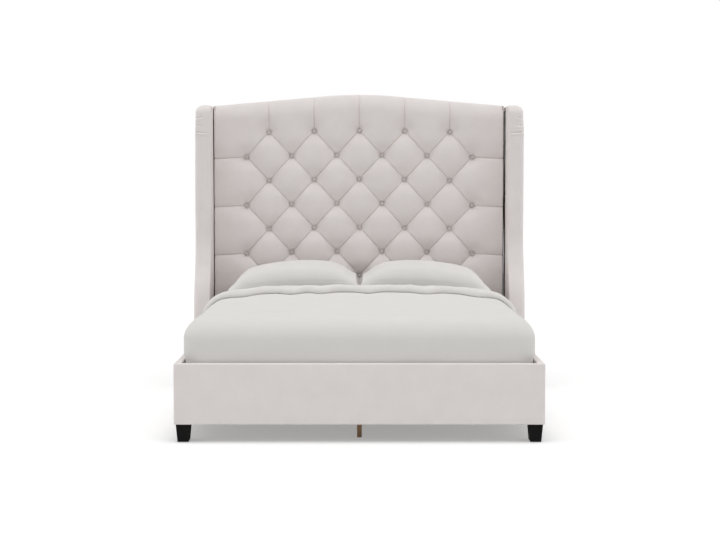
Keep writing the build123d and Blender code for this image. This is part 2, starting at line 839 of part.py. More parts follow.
# Mattress
def mattress():
    """A plain body with two padded tapes round it, at its lower and its upper edge."""
    middle = mattress_foot + mattress_length / 2
    width = mattress_width - 2 * tape_radius
    length = mattress_length - 2 * tape_radius
    with BuildPart() as tapes:
        for level in (mattress_bottom, mattress_top - 2 * tape_radius):
            with BuildSketch(Plane.XY.offset(level)):
                with Locations((0, middle)):
                    RectangleRounded(mattress_width, mattress_length, mattress_corner_radius + tape_radius)
                    RectangleRounded(width, length, mattress_corner_radius, mode=Mode.SUBTRACT)
            extrude(amount=2 * tape_radius)
        rims = tapes.edges().filter_by(lambda edge: abs(edge.tangent_at(0).Z) < 1 / 2)
        outer = rims.filter_by(lambda edge: outside_tape(edge, width / 2, length / 2, middle))
        fillet(outer, tape_round)
    with BuildPart() as body:
        with BuildSketch(Plane.XY.offset(mattress_bottom)):
            with Locations((0, middle)):
                RectangleRounded(width, length, mattress_corner_radius)
        extrude(amount=mattress_height)
    save(body.part, "mattress")
    save(tapes.part, "mattress_border_tapes")


def outside_tape(edge, half_x, half_y, middle):
    """Whether an edge of the tapes lies on their outer side."""
    corner = Vector(half_x - mattress_corner_radius, half_y - mattress_corner_radius)
    place = edge.position_at(1 / 2)
    beyond = Vector(max(abs(place.X) - corner.X, 0), max(abs(place.Y - middle) - corner.Y, 0))
    return beyond.length > mattress_corner_radius + tape_radius / 2


# Duvet
def duvet_front(grow, rise):
    """The duvet from the foot, its axes X and Z: straight drop, puffed sides, crowned top."""
    straight = rail_inner - duvet_side_gap
    widest = straight + duvet_puff + grow
    neck = rail_top + duvet_side_gap
    shoulder = (widest - duvet_shoulder_inset, mattress_top + duvet_shoulder_rise + rise)
    puff = (widest, mattress_top - duvet_puff_drop)
    crown = (0, mattress_top + duvet_crown_rise + rise)
    with BuildSketch() as face:
        with BuildLine():
            Polyline((-straight, neck), (-straight, duvet_hem), (straight, duvet_hem), (straight, neck))
            Line((straight, neck), puff)
            RadiusArc(puff, shoulder, -duvet_shoulder_round)
            ThreePointArc(shoulder, crown, (-shoulder[0], shoulder[1]))
            RadiusArc((-shoulder[0], shoulder[1]), (-puff[0], puff[1]), -duvet_shoulder_round)
            Line((-puff[0], puff[1]), (-straight, neck))
        make_face()
    return face.sketch


def duvet_plan(grow):
    """The duvet from above: round corners at the foot, then a slight widening to the head."""
    narrow = rail_inner - duvet_side_gap
    wide = narrow + duvet_puff + grow
    turn = duvet_foot + duvet_taper_length
    with BuildSketch() as face:
        with BuildLine():
            Polyline((-wide, duvet_end), (-wide, turn), (-narrow, duvet_foot), (narrow, duvet_foot),
                     (wide, turn), (wide, duvet_end), close=True)
        make_face()
        fillet(face.vertices().group_by(Axis.Y)[0], duvet_corner_radius)
    return face.sketch


def duvet_side():
    """The duvet from the side, its axes Y and Z: round over the foot, then a slow rise."""
    foot_top = mattress_top + duvet_foot_rise
    with BuildSketch() as face:
        with BuildLine():
            Polyline((duvet_foot, duvet_hem), (duvet_foot, foot_top), (duvet_end, duvet_head_top),
                     (duvet_end, duvet_hem), close=True)
        make_face()
        fillet(face.vertices().group_by(Axis.X)[0].sort_by(Axis.Y)[-1], duvet_foot_round)
    return face.sketch


def fold_side():
    """The turned-down fold from the side: a thick band with a round lip and a round back."""
    lip = duvet_end - fold_width
    top = duvet_head_top + fold_rise
    low = mattress_top - fold_side_drop
    with BuildSketch() as face:
        with BuildLine():
            Polyline((lip, low), (lip, top), (duvet_end, top), (duvet_end, low), close=True)
        make_face()
        fillet(face.vertices().group_by(Axis.Y)[-1], fold_lip_round)
    return face.sketch


def crossed(front, plan, side):
    """The solid that has the given shapes from the foot, from above and from the side."""
    wide = 2 * frame_width
    with BuildPart() as made:
        with BuildSketch(Plane.YZ.offset(-wide / 2)):
            add(side)
        extrude(amount=wide)
        with BuildSketch():
            add(plan)
        extrude(amount=headboard_top, mode=Mode.INTERSECT)
        with BuildSketch(across(head_back)):
            add(front)
        extrude(amount=bed_length, mode=Mode.INTERSECT)
    return made.part


def duvet():
    middle = mattress_foot + mattress_length / 2
    width = mattress_width + 2 * lining_gap
    length = mattress_length + 2 * lining_gap
    with BuildPart() as made:
        add(crossed(duvet_front(0, 0), duvet_plan(0), duvet_side()))
        add(crossed(duvet_front(fold_side_puff, fold_rise), duvet_plan(fold_side_puff), fold_side()))
        with BuildSketch(Plane.XY.offset(duvet_hem - overrun)):
            with Locations((0, middle)):
                RectangleRounded(width, length, mattress_corner_radius)
        extrude(amount=mattress_top + lining_gap - duvet_hem + overrun, mode=Mode.SUBTRACT)
    save(made.part, "duvet")


# Pillows
def pillow_outline(share):
    """A pillow's outline from above: pointed corners, with all four sides drawn in."""
    half_x = share * pillow_width / 2
    half_y = share * pillow_depth / 2
    draw_x = half_x - pillow_end_draw * share
    draw_y = half_y - pillow_side_draw * share
    with BuildSketch() as face:
        with BuildLine():
            ThreePointArc((-half_x, -half_y), (0, -draw_y), (half_x, -half_y))
            ThreePointArc((half_x, -half_y), (draw_x, 0), (half_x, half_y))
            ThreePointArc((half_x, half_y), (0, draw_y), (-half_x, half_y))
            ThreePointArc((-half_x, half_y), (-draw_x, 0), (-half_x, -half_y))
        make_face()
    return face.sketch


def pillow(side, name):
    """A crowned pillow, flat underneath where it lies on the mattress."""
    middle_x = side * (pillow_apart + pillow_width) / 2
    middle_y = pillow_front + pillow_depth / 2
    with BuildPart() as made:
        for height, size in pillow_shares:
            level = pillow_bottom + height * pillow_height
            with BuildSketch(Plane(origin=(middle_x, middle_y, level))):
                add(pillow_outline(size))
        loft(ruled=True)
    save(made.part, f"pillow_{name}")


footboard()
side_rail(-1, "left")
side_rail(1, "right")
legs()
frame_bolts()
ledger(-1, "left")
ledger(1, "right")
slats()
beam_hangers(*centre_beam())
support_legs()
headboard_pad()
tuft_buttons()
headboard_panel()
headboard_frame()
headboard_back_cloth()
wing(-1, "left")
wing(1, "right")
wing_bolts()
mattress()
duvet()
pillow(-1, "left")
pillow(1, "right")
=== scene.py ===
# %% [markdown]
# # An upholstered bed
#
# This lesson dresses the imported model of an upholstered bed: a tufted, arched headboard between
# two padded wings, padded rails and footboard, black block legs, a mattress, a duvet with its
# head end folded back, and two pillows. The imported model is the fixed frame. Its boards, bolts,
# slats and legs stay as they are and only get a finish. Everything soft is a new surface here.
#
# Lengths are in metres, +Z is up, the foot of the bed points to -Y.

import math

import bmesh
import bpy
import numpy as np
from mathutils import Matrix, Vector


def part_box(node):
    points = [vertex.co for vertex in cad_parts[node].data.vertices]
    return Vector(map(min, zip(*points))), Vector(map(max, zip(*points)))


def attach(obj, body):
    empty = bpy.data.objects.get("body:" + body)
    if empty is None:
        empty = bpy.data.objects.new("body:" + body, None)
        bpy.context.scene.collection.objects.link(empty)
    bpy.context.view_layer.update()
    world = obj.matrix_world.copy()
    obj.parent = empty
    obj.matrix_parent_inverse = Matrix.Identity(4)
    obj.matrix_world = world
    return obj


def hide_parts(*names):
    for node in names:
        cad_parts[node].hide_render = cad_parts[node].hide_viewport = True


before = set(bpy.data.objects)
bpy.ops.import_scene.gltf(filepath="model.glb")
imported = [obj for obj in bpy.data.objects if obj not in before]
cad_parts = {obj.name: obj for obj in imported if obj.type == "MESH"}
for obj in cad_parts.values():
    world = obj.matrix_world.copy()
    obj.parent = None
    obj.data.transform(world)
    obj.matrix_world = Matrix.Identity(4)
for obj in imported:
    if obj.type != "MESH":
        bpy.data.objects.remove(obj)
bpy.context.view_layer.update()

# %% [markdown]
# ## The camera
#
# The photograph is a straight front view. Fitting a pinhole camera to the bed's known edges gave
# a point 7.5 m in front of the footboard, 1.22 m up, tilted down by 3.3 degrees. The focal length
# of 1660 pixels on a picture 720 pixels wide is an 83 mm lens on a 36 mm sensor. The bed's axis
# lies 0.6 pixels left of the picture's middle.

# %% Camera
camera_place = (0, -8.6175, 1.2185)
camera_tilt = math.radians(90 - 3.275)
focal_pixels = 1660
axis_pixels = 0.6
picture_width = 720


def new_object(name, data):
    """An object at the origin, linked into the scene."""
    made = bpy.data.objects.new(name, data)
    bpy.context.scene.collection.objects.link(made)
    return made


camera = new_object("camera", bpy.data.cameras.new("camera"))
camera.data.sensor_width = 36
camera.data.lens = camera.data.sensor_width * focal_pixels / picture_width
camera.location = camera_place
camera.data.shift_x = axis_pixels / picture_width
camera.rotation_euler = (camera_tilt, 0, 0)
bpy.context.scene.camera = camera
print("lens", round(camera.data.lens, 1), "mm")

# %% [markdown]
# ## Surfaces from grids
#
# A soft piece is a surface over two parameters. Numpy works out all of its points at once, as an
# array of rows and columns, and neighbouring points become quads. Several grids that share their
# borders make one closed piece: the shared points are merged and the faces turned outwards.
# A UV map holds lengths along the rows and columns, so that a weave keeps its real scale.

# %% Grids, pieces and caps
merge_distance = 1e-5


def box_of(node):
    """A node's box in the frame: its low and its high corner."""
    low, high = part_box(node)
    return np.array(low), np.array(high)


def triples(a, b, c):
    """Three arrays brought to one shape and stacked as the columns of points or triangles."""
    return np.stack(np.broadcast_arrays(a, b, c), axis=-1)


def grid(points):
    """A grid's points, its quads and its UV map, from an array of rows, columns and X, Y, Z."""
    rows, columns = points.shape[:2]
    start = (np.arange(rows - 1)[:, None] * columns + np.arange(columns - 1)).reshape(-1, 1)
    quads = start + np.array([0, 1, columns + 1, columns])
    along = np.zeros((rows, columns))
    down = np.zeros((rows, columns))
    along[:, 1:] = np.cumsum(np.linalg.norm(np.diff(points, axis=1), axis=2), axis=1)
    down[1:] = np.cumsum(np.linalg.norm(np.diff(points, axis=0), axis=2), axis=0)
    return points.reshape(-1, 3), quads, np.stack([along, down], axis=-1).reshape(-1, 2)


def join(parts):
    """One list of points, faces and UVs from several."""
    points, faces, uvs, start = [], [], [], 0
    for part_points, part_faces, part_uvs in parts:
        points.append(part_points)
        faces += (part_faces + start).tolist()
        uvs.append(part_uvs)
        start += len(part_points)
    return np.concatenate(points), faces, np.concatenate(uvs)


def piece(name, parts, material, body, replaced=(), sharp=60):
    """A finished object from its parts: merged, turned outwards, smooth, on its body."""
    points, faces, uvs = join(parts)
    mesh = bpy.data.meshes.new(name)
    mesh.from_pydata(points.tolist(), [], faces)
    corners = np.empty(len(mesh.loops), dtype=np.int32)
    mesh.loops.foreach_get("vertex_index", corners)
    lengths = mesh.uv_layers.new(name="lengths")
    lengths.data.foreach_set("uv", uvs[corners].astype(np.float32).ravel())
    work = bmesh.new()
    work.from_mesh(mesh)
    bmesh.ops.remove_doubles(work, verts=work.verts, dist=merge_distance)
    bmesh.ops.dissolve_degenerate(work, edges=work.edges, dist=merge_distance)
    bmesh.ops.recalc_face_normals(work, faces=work.faces)
    open_edges = sum(edge.is_boundary for edge in work.edges)
    work.to_mesh(mesh)
    work.free()
    mesh.polygons.foreach_set("use_smooth", np.ones(len(mesh.polygons), dtype=bool))
    mesh.set_sharp_from_angle(angle=math.radians(sharp))
    mesh.materials.append(material)
    made = new_object(name, mesh)
    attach(made, body)
    if replaced:
        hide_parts(*replaced)
    print(name, len(mesh.polygons), "faces,", open_edges, "open edges")
    return made


def capped(rings, shares=(0.8, 0.55, 0.3, 0.12, 0)):
    """Rings of points with both ends closed: copies of the end rings shrink to their middles."""
    def lids(ring):
        middle = ring[:-1].mean(axis=0)
        return np.stack([middle + (ring - middle) * share for share in shares])
    return np.concatenate([lids(rings[0])[::-1], rings, lids(rings[-1])])


def ease(value, start, end):
    """A smooth step from 0 at start to 1 at end."""
    share = np.clip((value - start) / (end - start), 0, 1)
    return share * share * (3 - 2 * share)


def bell(off, width):
    """A bell curve over off: 1 in its middle, and 1/e one width away on either side."""
    return np.exp(-(off / width) ** 2)


def ripple(a, b, size, seed):
    """Unevenness from -1 to 1: the mean of six sine waves, seeded, each about one size long."""
    chance = np.random.default_rng(seed)
    waves = 6
    total = np.zeros(np.broadcast(a, b).shape)
    for _ in range(waves):
        turn = chance.uniform(0, math.pi)
        length = size * chance.uniform(0.7, 1.6)
        phase = chance.uniform(0, 2 * math.pi)
        total += np.sin(2 * math.pi * (a * math.cos(turn) + b * math.sin(turn)) / length + phase)
    return total / waves


# %% [markdown]
# ## Materials
#
# Each finish starts from the real material and is built from nodes, so that it has its weave,
# grain or sheen from any side. Colours are sRGB hex values, as a paint chart gives them, and one
# function turns them into the linear values that the renderer works with. Patterns are given in
# millimetres. A wave texture repeats every 2*pi/20 of its coordinate, and a noise texture about
# once per unit, so two functions turn millimetres into their scales.

# %% Colours, nodes and scales
def linear(code):
    """An sRGB hex colour as linear RGBA."""
    values = np.array([int(code[place:place + 2], 16) for place in (1, 3, 5)]) / 255
    values = np.where(values <= 0.04045, values / 12.92, ((values + 0.055) / 1.055) ** 2.4)
    return (*values.tolist(), 1)


def add_node(owner, kind, inputs=None, **settings):
    """One shader node with its settings; an input is a value or another node's output."""
    made = owner.node_tree.nodes.new("ShaderNode" + kind)
    for name, value in settings.items():
        setattr(made, name, value)
    for socket, value in (inputs or {}).items():
        if isinstance(value, bpy.types.NodeSocket):
            owner.node_tree.links.new(value, made.inputs[socket])
        else:
            made.inputs[socket].default_value = value
    return made


def finish(name, values):
    """A material and its shader, with the given values on the shader's own sockets."""
    material = bpy.data.materials.new(name)
    material.use_nodes = True
    shader = material.node_tree.nodes["Principled BSDF"]
    for socket, value in values.items():
        shader.inputs[socket].default_value = value
    print("finish", name)
    return material, shader


def wave_scale(millimetres):
    """The scale at which a wave texture repeats after so many millimetres."""
    return 2 * math.pi / 20 / (millimetres / 1000)


def noise_scale(millimetres):
    """The scale at which the spots of a noise texture are so many millimetres wide."""
    return 1000 / millimetres


def surface(material, shader, tone, dark, light, height, strength, depth):
    """The shader's colour, from dark to light by a tone, and its relief, by a height in metres."""
    mixed = add_node(material, "Mix", {0: tone, 6: linear(dark), 7: linear(light)},
                     data_type="RGBA")
    raised = add_node(material, "Bump", {"Height": height, "Strength": strength,
                      "Distance": depth})
    material.node_tree.links.new(mixed.outputs[2], shader.inputs["Base Color"])
    material.node_tree.links.new(raised.outputs[0], shader.inputs["Normal"])


# %% [markdown]
# ### Upholstery weave
#
# The bed is covered in a plain greige weave of polyester and linen: matte, with threads that
# cross over and under and a few thicker ones. Two wave textures are the two thread directions,
# and the higher of the two at each place is the thread on top. Thread is about half a millimetre
# thick on the real cloth; here it is drawn at 2.2 mm so that it shows at all. The sheen is the
# light that loose fibres catch at the edges of each roll. The hidden sides of the headboard's
# pad, beside the wings, are in a near-black cloth that is painted shade: the photograph shows
# that gap as black.

# %% Upholstery weave
slubs_per_cloud = 14


def woven(name, light, dark, thread, slub, strength, values):
    """Cloth on a UV map of lengths: crossing threads, thick-and-thin yarn, slight colour change."""
    material, shader = finish(name, values)
    place = add_node(material, "TexCoord").outputs["UV"]
    warp, weft = [
        add_node(material, "TexWave", {"Vector": place, "Scale": wave_scale(thread),
                 "Distortion": 0.6, "Detail": 1.0}, bands_direction=axis).outputs["Fac"]
        for axis in "XY"
    ]
    top = add_node(material, "Math", {0: warp, 1: weft}, operation="MAXIMUM").outputs[0]
    yarn = add_node(material, "TexNoise", {"Vector": place, "Scale": noise_scale(slub),
                    "Detail": 4.0, "Roughness": 0.6}).outputs["Fac"]
    cloud = add_node(material, "TexNoise", {"Vector": place, "Detail": 2.0,
                     "Scale": noise_scale(slub * slubs_per_cloud)}).outputs["Fac"]
    both = add_node(material, "Math", {0: yarn, 1: cloud}, operation="MULTIPLY").outputs[0]
    tone = add_node(material, "MapRange", {"Value": both, "From Min": 0.12, "From Max": 0.42})
    height = add_node(material, "Math", {0: top, 1: yarn}, operation="ADD").outputs[0]
    surface(material, shader, tone.outputs[0], dark, light, height, strength, thread / 4000)
    return material


matte = {"Roughness": 0.92, "Sheen Weight": 0.08, "Sheen Roughness": 0.5, "Specular IOR Level": 0.2}
upholstery = woven("greige_upholstery_weave", "#EBE5E3", "#E6DFDD", 2.2, 7, 0.35, matte)
# Painted shade: the buttons get a darker copy of the upholstery weave, for the shade in their pits.
shaded_button_cloth = woven("button_weave_painted_shade", "#DAD3D1", "#D1CAC7", 1.6, 5, 0.3, matte)
# Painted shade: a near-black copy of the weave for the gap beside the wings.
gap_shade_cloth = woven("black_painted_gap_shade", "#211F1F", "#191818", 1.0, 6, 0.2,
                     {"Roughness": 0.95, "Specular IOR Level": 0.1})

# %% [markdown]
# ### Bed linen and mattress cloth
#
# The duvet and the pillows are in cotton percale: a close plain weave, white with a little grey,
# smooth and matte. It has the same threads as the upholstery, but finer and flatter.
# The mattress ticking is a knitted polyester, a bit softer, and its edge tape a ribbed band.

# %% Cottons, ticking and tape
smooth = {"Roughness": 0.85, "Sheen Weight": 0.15, "Sheen Roughness": 0.4,
          "Specular IOR Level": 0.3}
duvet_cotton = woven("duvet_cotton_percale", "#DEDCD9", "#DBD9D6", 1.2, 9, 0.12, smooth)
pillow_cotton = woven("pillow_cotton_percale", "#DBD9D6", "#D7D5D2", 1.2, 9, 0.12, smooth)
ticking = woven("mattress_knit_ticking", "#E6E5E2", "#DEDDD9", 1.8, 6, 0.3,
                {"Roughness": 0.9, "Sheen Weight": 0.2, "Sheen Roughness": 0.5,
                 "Specular IOR Level": 0.25})


def ribbed_tape():
    """Woven polyester binding on object coordinates: ribs 2 mm apart along its run."""
    material, shader = finish("mattress_binding_tape",
                              {"Roughness": 0.75, "Specular IOR Level": 0.35})
    place = add_node(material, "TexCoord").outputs["Object"]
    ribs = add_node(material, "TexWave", {"Vector": place, "Scale": wave_scale(2),
                    "Distortion": 0.3}, bands_direction="DIAGONAL").outputs["Fac"]
    surface(material, shader, ribs, "#C9C7C3", "#D9D8D5", ribs, 0.3, 0.0004)
    return material


tape = ribbed_tape()

# %% [markdown]
# ### Woods
#
# Wood is stretched noise: long fibres along the board and short ones across it, with wider growth
# bands behind them. Beech for the legs is stained black, so that only a trace of grain shows in
# the satin lacquer. So are the headboard's posts, because their ends show below the back cloth.
# The slats are birch, the frame is pine and the support legs a brown rubberwood.

# %% Woods
grain_stretch = 0.06
fibres_per_band = 8


def wood(name, light, dark, along, band, roughness, **more):
    """Grain along one axis of the object's coordinates: bands, fibres and a slight bump."""
    material, shader = finish(name, {"Roughness": roughness, **more})
    place = add_node(material, "TexCoord").outputs["Object"]
    stretch = [grain_stretch if axis == along else 1.0 for axis in "XYZ"]
    squeezed = add_node(material, "Mapping", {"Vector": place, "Scale": stretch}).outputs[0]
    bands = add_node(material, "TexNoise", {"Vector": squeezed, "Scale": noise_scale(band),
                     "Detail": 3.0, "Distortion": 0.8}).outputs["Fac"]
    fibres = add_node(material, "TexNoise", {"Vector": squeezed, "Detail": 5.0, "Roughness": 0.65,
                      "Scale": noise_scale(band / fibres_per_band)}).outputs["Fac"]
    grain = add_node(material, "Mix", {0: 0.4, 2: bands, 3: fibres}).outputs[0]
    tone = add_node(material, "MapRange", {"Value": grain, "From Min": 0.35, "From Max": 0.65})
    surface(material, shader, tone.outputs[0], dark, light, fibres, 0.25, 0.0004)
    return material


black_beech = wood("black_stained_beech", "#0B0A0A", "#050505", "Z", 9, 0.55,
                   **{"Specular IOR Level": 0.15})
birch = wood("birch_slats", "#D9BE93", "#C4A477", "X", 14, 0.6)
pine, upright_pine, cross_pine = [
    wood("sawn_pine" + use, "#CBA877", "#B08A59", axis, 22, 0.7)
    for use, axis in (("", "Y"), ("_uprights", "Z"), ("_cross_rails", "X"))
]
rubberwood = wood("brown_rubberwood", "#C29B74", "#A9835E", "Z", 10, 0.5)
plywood = wood("poplar_plywood", "#CDAE80", "#BC9967", "X", 40, 0.65)

# %% [markdown]
# ### Steel, plastic and twine
#
# Bolts, screws and hangers are steel with a bright zinc plating, which has a fine mottle of
# crystals. The glides are moulded polyethylene with a faint orange-peel skin. The twine that
# pulls each button in is waxed and twisted.

# %% Steel, plastic and twine
def mottled(name, light, dark, size, values, strength=0.15):
    """A hard material with a fine mottle in its colour and its surface."""
    material, shader = finish(name, values)
    place = add_node(material, "TexCoord").outputs["Object"]
    spots = add_node(material, "TexNoise", {"Vector": place, "Scale": noise_scale(size),
                     "Detail": 3.0}).outputs["Fac"]
    surface(material, shader, spots, dark, light, spots, strength, 0.0003)
    return material


zinc = mottled("zinc_plated_steel", "#C6C8CA", "#A9ABAE", 3, {"Metallic": 1.0, "Roughness": 0.35})
plastic = mottled("black_polyethylene", "#1C1C1D", "#151516", 1.5, {"Roughness": 0.5})
waxed_twine = mottled("waxed_twine", "#C9BDA2", "#A99B7F", 1.2, {"Roughness": 0.8}, 0.5)

# %% [markdown]
# ### Finishes of the kept nodes
#
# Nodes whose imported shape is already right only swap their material. The first finish with a
# start of the node's name decides, so the longer starts come first.

# %% Finish the kept nodes
node_finishes = (
    (pine, "slat_ledger centre_beam side_rail_core"),
    (birch, "slat_"),
    (plastic, "support_leg_pads foot_glides"),
    (rubberwood, "support_leg_"),
    (black_beech, "front_leg rear_leg headboard_post"),
    (upright_pine, "leg_block wing_core"),
    (cross_pine, "footboard_core headboard_top_rail headboard_mid_rail headboard_low_rail"),
    (plywood, "headboard_panel"),
    (zinc, "beam_hangers frame_bolts leg_hanger_bolts wing_bolts wood_screws"),
    (waxed_twine, "button_twines"),
    (tape, "mattress_border_tapes"),
)
finished = 0
for node_name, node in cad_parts.items():
    for material, starts in node_finishes:
        if node_name.startswith(tuple(starts.split())):
            node.data.materials.clear()
            node.data.materials.append(material)
            finished += 1
            break
print(finished, "nodes keep their packed shape")

# %% [markdown]
# ## The tufted headboard
#
# The pad is foam under cloth that is pulled in by buttons on a lattice of diamonds. Folds run
# from button to button, and from the outer buttons straight to the edge. It could be sculpted or
# simulated, but the folds have to run exactly from button to button, so it is a height over a
# grid: the grid's columns and rows divide the lattice, the folds lie on grid points, and the
# height at a point follows from how far it is from the folds and from the buttons.

# %% The lattice of buttons
pad_low, pad_high = box_of("headboard_pad")
half_width = pad_high[0]
top_middle = pad_high[2]
pad_bottom = pad_low[2]
pad_back = pad_high[1]
arch_half = 0.268
arch_drop = 0.0145
corner_drop = 0.065
half_pitch = 0.131
row_pitch = 0.140
first_row = top_middle - 0.207
row_count = 7
outer_button = 5 * half_pitch
row_arch_drop = 0.013


def outline_top(x):
    """The arched top edge: a shallow arc in the middle, then straight down to both corners."""
    x = np.abs(x)
    slope = (corner_drop - arch_drop) / (half_width - arch_half)
    flank = top_middle - arch_drop - slope * (x - arch_half)
    return np.where(x < arch_half, top_middle - arch_drop * (x / arch_half) ** 2, flank)


def row_sag(x):
    """How far the rows of buttons hang down away from the middle."""
    return row_arch_drop * (x / outer_button) ** 2


def columns_of(row):
    """The columns of a row's buttons, in half pitches: five in the first row, six in the next."""
    return range(-4, 5, 2) if row % 2 == 0 else range(-5, 6, 2)


buttons = np.array([
    (column * half_pitch, first_row - row * row_pitch)
    for row in range(row_count) for column in columns_of(row)
])
print(len(buttons), "buttons")

# %% Folds between the buttons
far = 0.5


def folds():
    """Every fold as two ends: diagonals between rows, and straight ones to the four edges."""
    lines = []
    last = row_count - 1
    for row in range(row_count):
        z = first_row - row * row_pitch
        for column in columns_of(row):
            x = column * half_pitch
            if row < last:
                for step in (-1, 1):
                    if column + step in columns_of(row + 1):
                        lines.append(((x, z), (x + step * half_pitch, z - row_pitch)))
            if row == 0:
                lines.append(((x, z), (x, z + far)))
            if row == last:
                lines.append(((x, z), (x, z - far)))
            if abs(column) == 5:
                lines.append(((x, z), (x + math.copysign(far, x), z)))
    return np.array(lines)


def distance_from_fold(x, z, fold):
    """How far points lie from one fold, a straight line between two ends."""
    start, end = fold
    run = end - start
    share = np.clip(((x - start[0]) * run[0] + (z - start[1]) * run[1]) / (run @ run), 0, 1)
    return np.hypot(x - start[0] - share * run[0], z - start[1] - share * run[1])


print(len(folds()), "folds")

# %% Height of the padding
crown = 0.030
fold_middle = 0.0225
fold_top = 0.0275
pit_radius = 0.0185
pad_ripple = 0.0015
pit_floor = -0.0205
pit_rim = -0.0105
rise_radius = 0.052
fold_reach = 0.092
shoulder_radius = 0.050
crease_depth = 0.0018
crease_width = 0.0030
crease_near = 0.0045
crease_reach = 0.03
softness = 4
top_from = first_row + 0.04
top_to = first_row + 0.15


def tuft_height(x, z):
    """How far the cloth stands out from the bottom of the pits.

    A fold starts in the round pit of its button and rises towards the middle between two buttons.
    Above the first row the folds soon come level with the cloth beside them. The distances to all
    folds are blended into one, so that a diamond has no ridges, and over it the cloth rises as a
    quarter of an ellipse, steep at the fold and flat at the crown. The fold itself is a thin
    crease.
    """
    total = np.zeros(x.shape)
    nearest = np.full(x.shape, 1.0)
    for fold in folds():
        distance = distance_from_fold(x, z, fold)
        total += (distance + 1e-4) ** -softness
        nearest = np.minimum(nearest, distance)
    reach = np.minimum(total ** (-1 / softness) / fold_reach, 1)
    dome = np.sqrt(1 - (1 - reach) ** 2)
    button = np.full(x.shape, 1.0)
    for place_x, place_z in buttons:
        button = np.minimum(button, np.hypot(x - place_x, z - place_z))
    pit = 1 - np.exp(-(button / pit_radius) ** 4)
    middle = fold_middle + (fold_top - fold_middle) * ease(z, top_from, top_to)
    risen = 1 - np.exp(-(button / rise_radius) ** 1.5)
    base = pit_floor + (pit_rim - pit_floor) * pit + middle * risen
    shoulder = 1 - np.exp(-(button / shoulder_radius) ** 1.6)
    crease = (crease_depth + crease_near * bell(button, crease_reach)) * pit
    return base + (crown - base) * dome * shoulder - crease * np.exp(-nearest / crease_width)


# %% [markdown]
# The pad's front is one grid. Its inner columns and rows divide the lattice by 28, closer
# together near the buttons, where the cloth bends most. Beyond the lattice the columns close up
# towards the sides, and the rows follow the arch, so that the cloth can roll over the edge. Each
# small square is split along the direction of its own fold.

# %% The pad's front
fine = 28
closing = 0.45
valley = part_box("tuft_buttons")[1].y
side_roll = 0.010
side_roll_depth = 0.007
left_inset = 0.0042
right_inset = 0.0125
top_roll = 0.090
top_roll_depth = 0.034
rim = 0.0175
panel_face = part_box("headboard_panel")[0].y


def lattice_steps(low, high):
    """Steps through lattice cells: even ones less a sine, so closer towards whole numbers."""
    even = np.arange(low * fine, high * fine + 1) / fine
    return even - closing * np.sin(2 * math.pi * even) / (2 * math.pi)


inner = lattice_steps(-6, 6) * half_pitch
spread = np.sin(np.radians(np.linspace(0, 90, 15)[1:]))
outer_left = inner[-1] + (half_width - left_inset - inner[-1]) * spread
outer_right = inner[-1] + (half_width - right_inset - inner[-1]) * spread
grid_x = np.concatenate([-outer_left[::-1], inner, outer_right])
last_row = first_row - (row_count - 1) * row_pitch
lattice_rows = lattice_steps(0, row_count - 1) * row_pitch + last_row
below = np.linspace(0, 1, 45)[:-1]
closing_up = 0.6 + 0.4 * np.sin(np.radians(np.linspace(0, 90, 20)[1:]))
above = np.concatenate([np.linspace(0, 0.6, 24)[1:], closing_up])


def pad_front():
    """The front as a grid of points, bottom row first: the height over the lattice, rolled over."""
    x = np.broadcast_to(grid_x, (len(below) + len(lattice_rows) + len(above), len(grid_x)))
    sag = row_sag(grid_x)
    low = pad_bottom + below[:, None] * (last_row - sag - pad_bottom)
    middle = lattice_rows[:, None] - sag
    top = first_row - sag + above[:, None] * (outline_top(grid_x) - first_row + sag)
    z = np.concatenate([low, middle, top])
    height = tuft_height(x, z + sag) + pad_ripple * ripple(x, z, 0.3, 5)
    reach_x = half_width - np.where(x > 0, right_inset, left_inset)
    across = 1 - (reach_x - np.abs(x)) / side_roll
    upward = 1 - (outline_top(x) - z) / top_roll
    side = np.clip(across, 0, 1)
    over = np.clip(upward, 0, 1)
    edge = np.minimum(np.hypot(side, over), 1)
    depth = np.maximum(side_roll_depth * (side > over), top_roll_depth * (over >= side))
    y = valley - height + depth * (0.5 * edge ** 2 + 0.5 * (1 - np.sqrt(1 - edge ** 2)))
    return triples(x, y, z)


def split_quads(rows, columns):
    """Two triangles for each square, split along the fold that its lattice cell has."""
    row = np.arange(rows - 1)[:, None]
    column = np.arange(columns - 1)[None, :]
    cell_x = np.floor((grid_x[:-1] + grid_x[1:]) / 2 / half_pitch)[None, :]
    cell_z = np.floor((row - len(below)) / fine)
    rising = (cell_x + cell_z) % 2 == 0
    a = row * columns + column
    b, c, d = a + 1, a + columns + 1, a + columns
    one = triples(a, b, np.where(rising, c, d))
    two = triples(np.where(rising, a, b), c, d)
    return np.concatenate([one.reshape(-1, 3), two.reshape(-1, 3)])


front = pad_front()
front_points = front.reshape(-1, 3)
front_part = (front_points, split_quads(*front.shape[:2]), front_points[:, [0, 2]])
print("pad front", front.shape)

# %% [markdown]
# Behind the front the cloth runs back over the rim to the back of the frame, is turned in there
# and held. The border of the front is walked once round, and that closed line is repeated:
# back, then inwards, then forward to the panel, where a fan of faces closes it. At the sides the
# cloth tucks in behind the padded edge, which leaves the dark gap beside the wings.

# %% The pad's rim and back
tuck_depth = 0.045
tuck_inner = half_width - 0.05
tuck_outer = half_width - 0.016
tuck_full = 0.14
unfold_from = 0.70
unfold_to = 0.90
below_rim = (0.012, 0.07)
skin = 0.0002


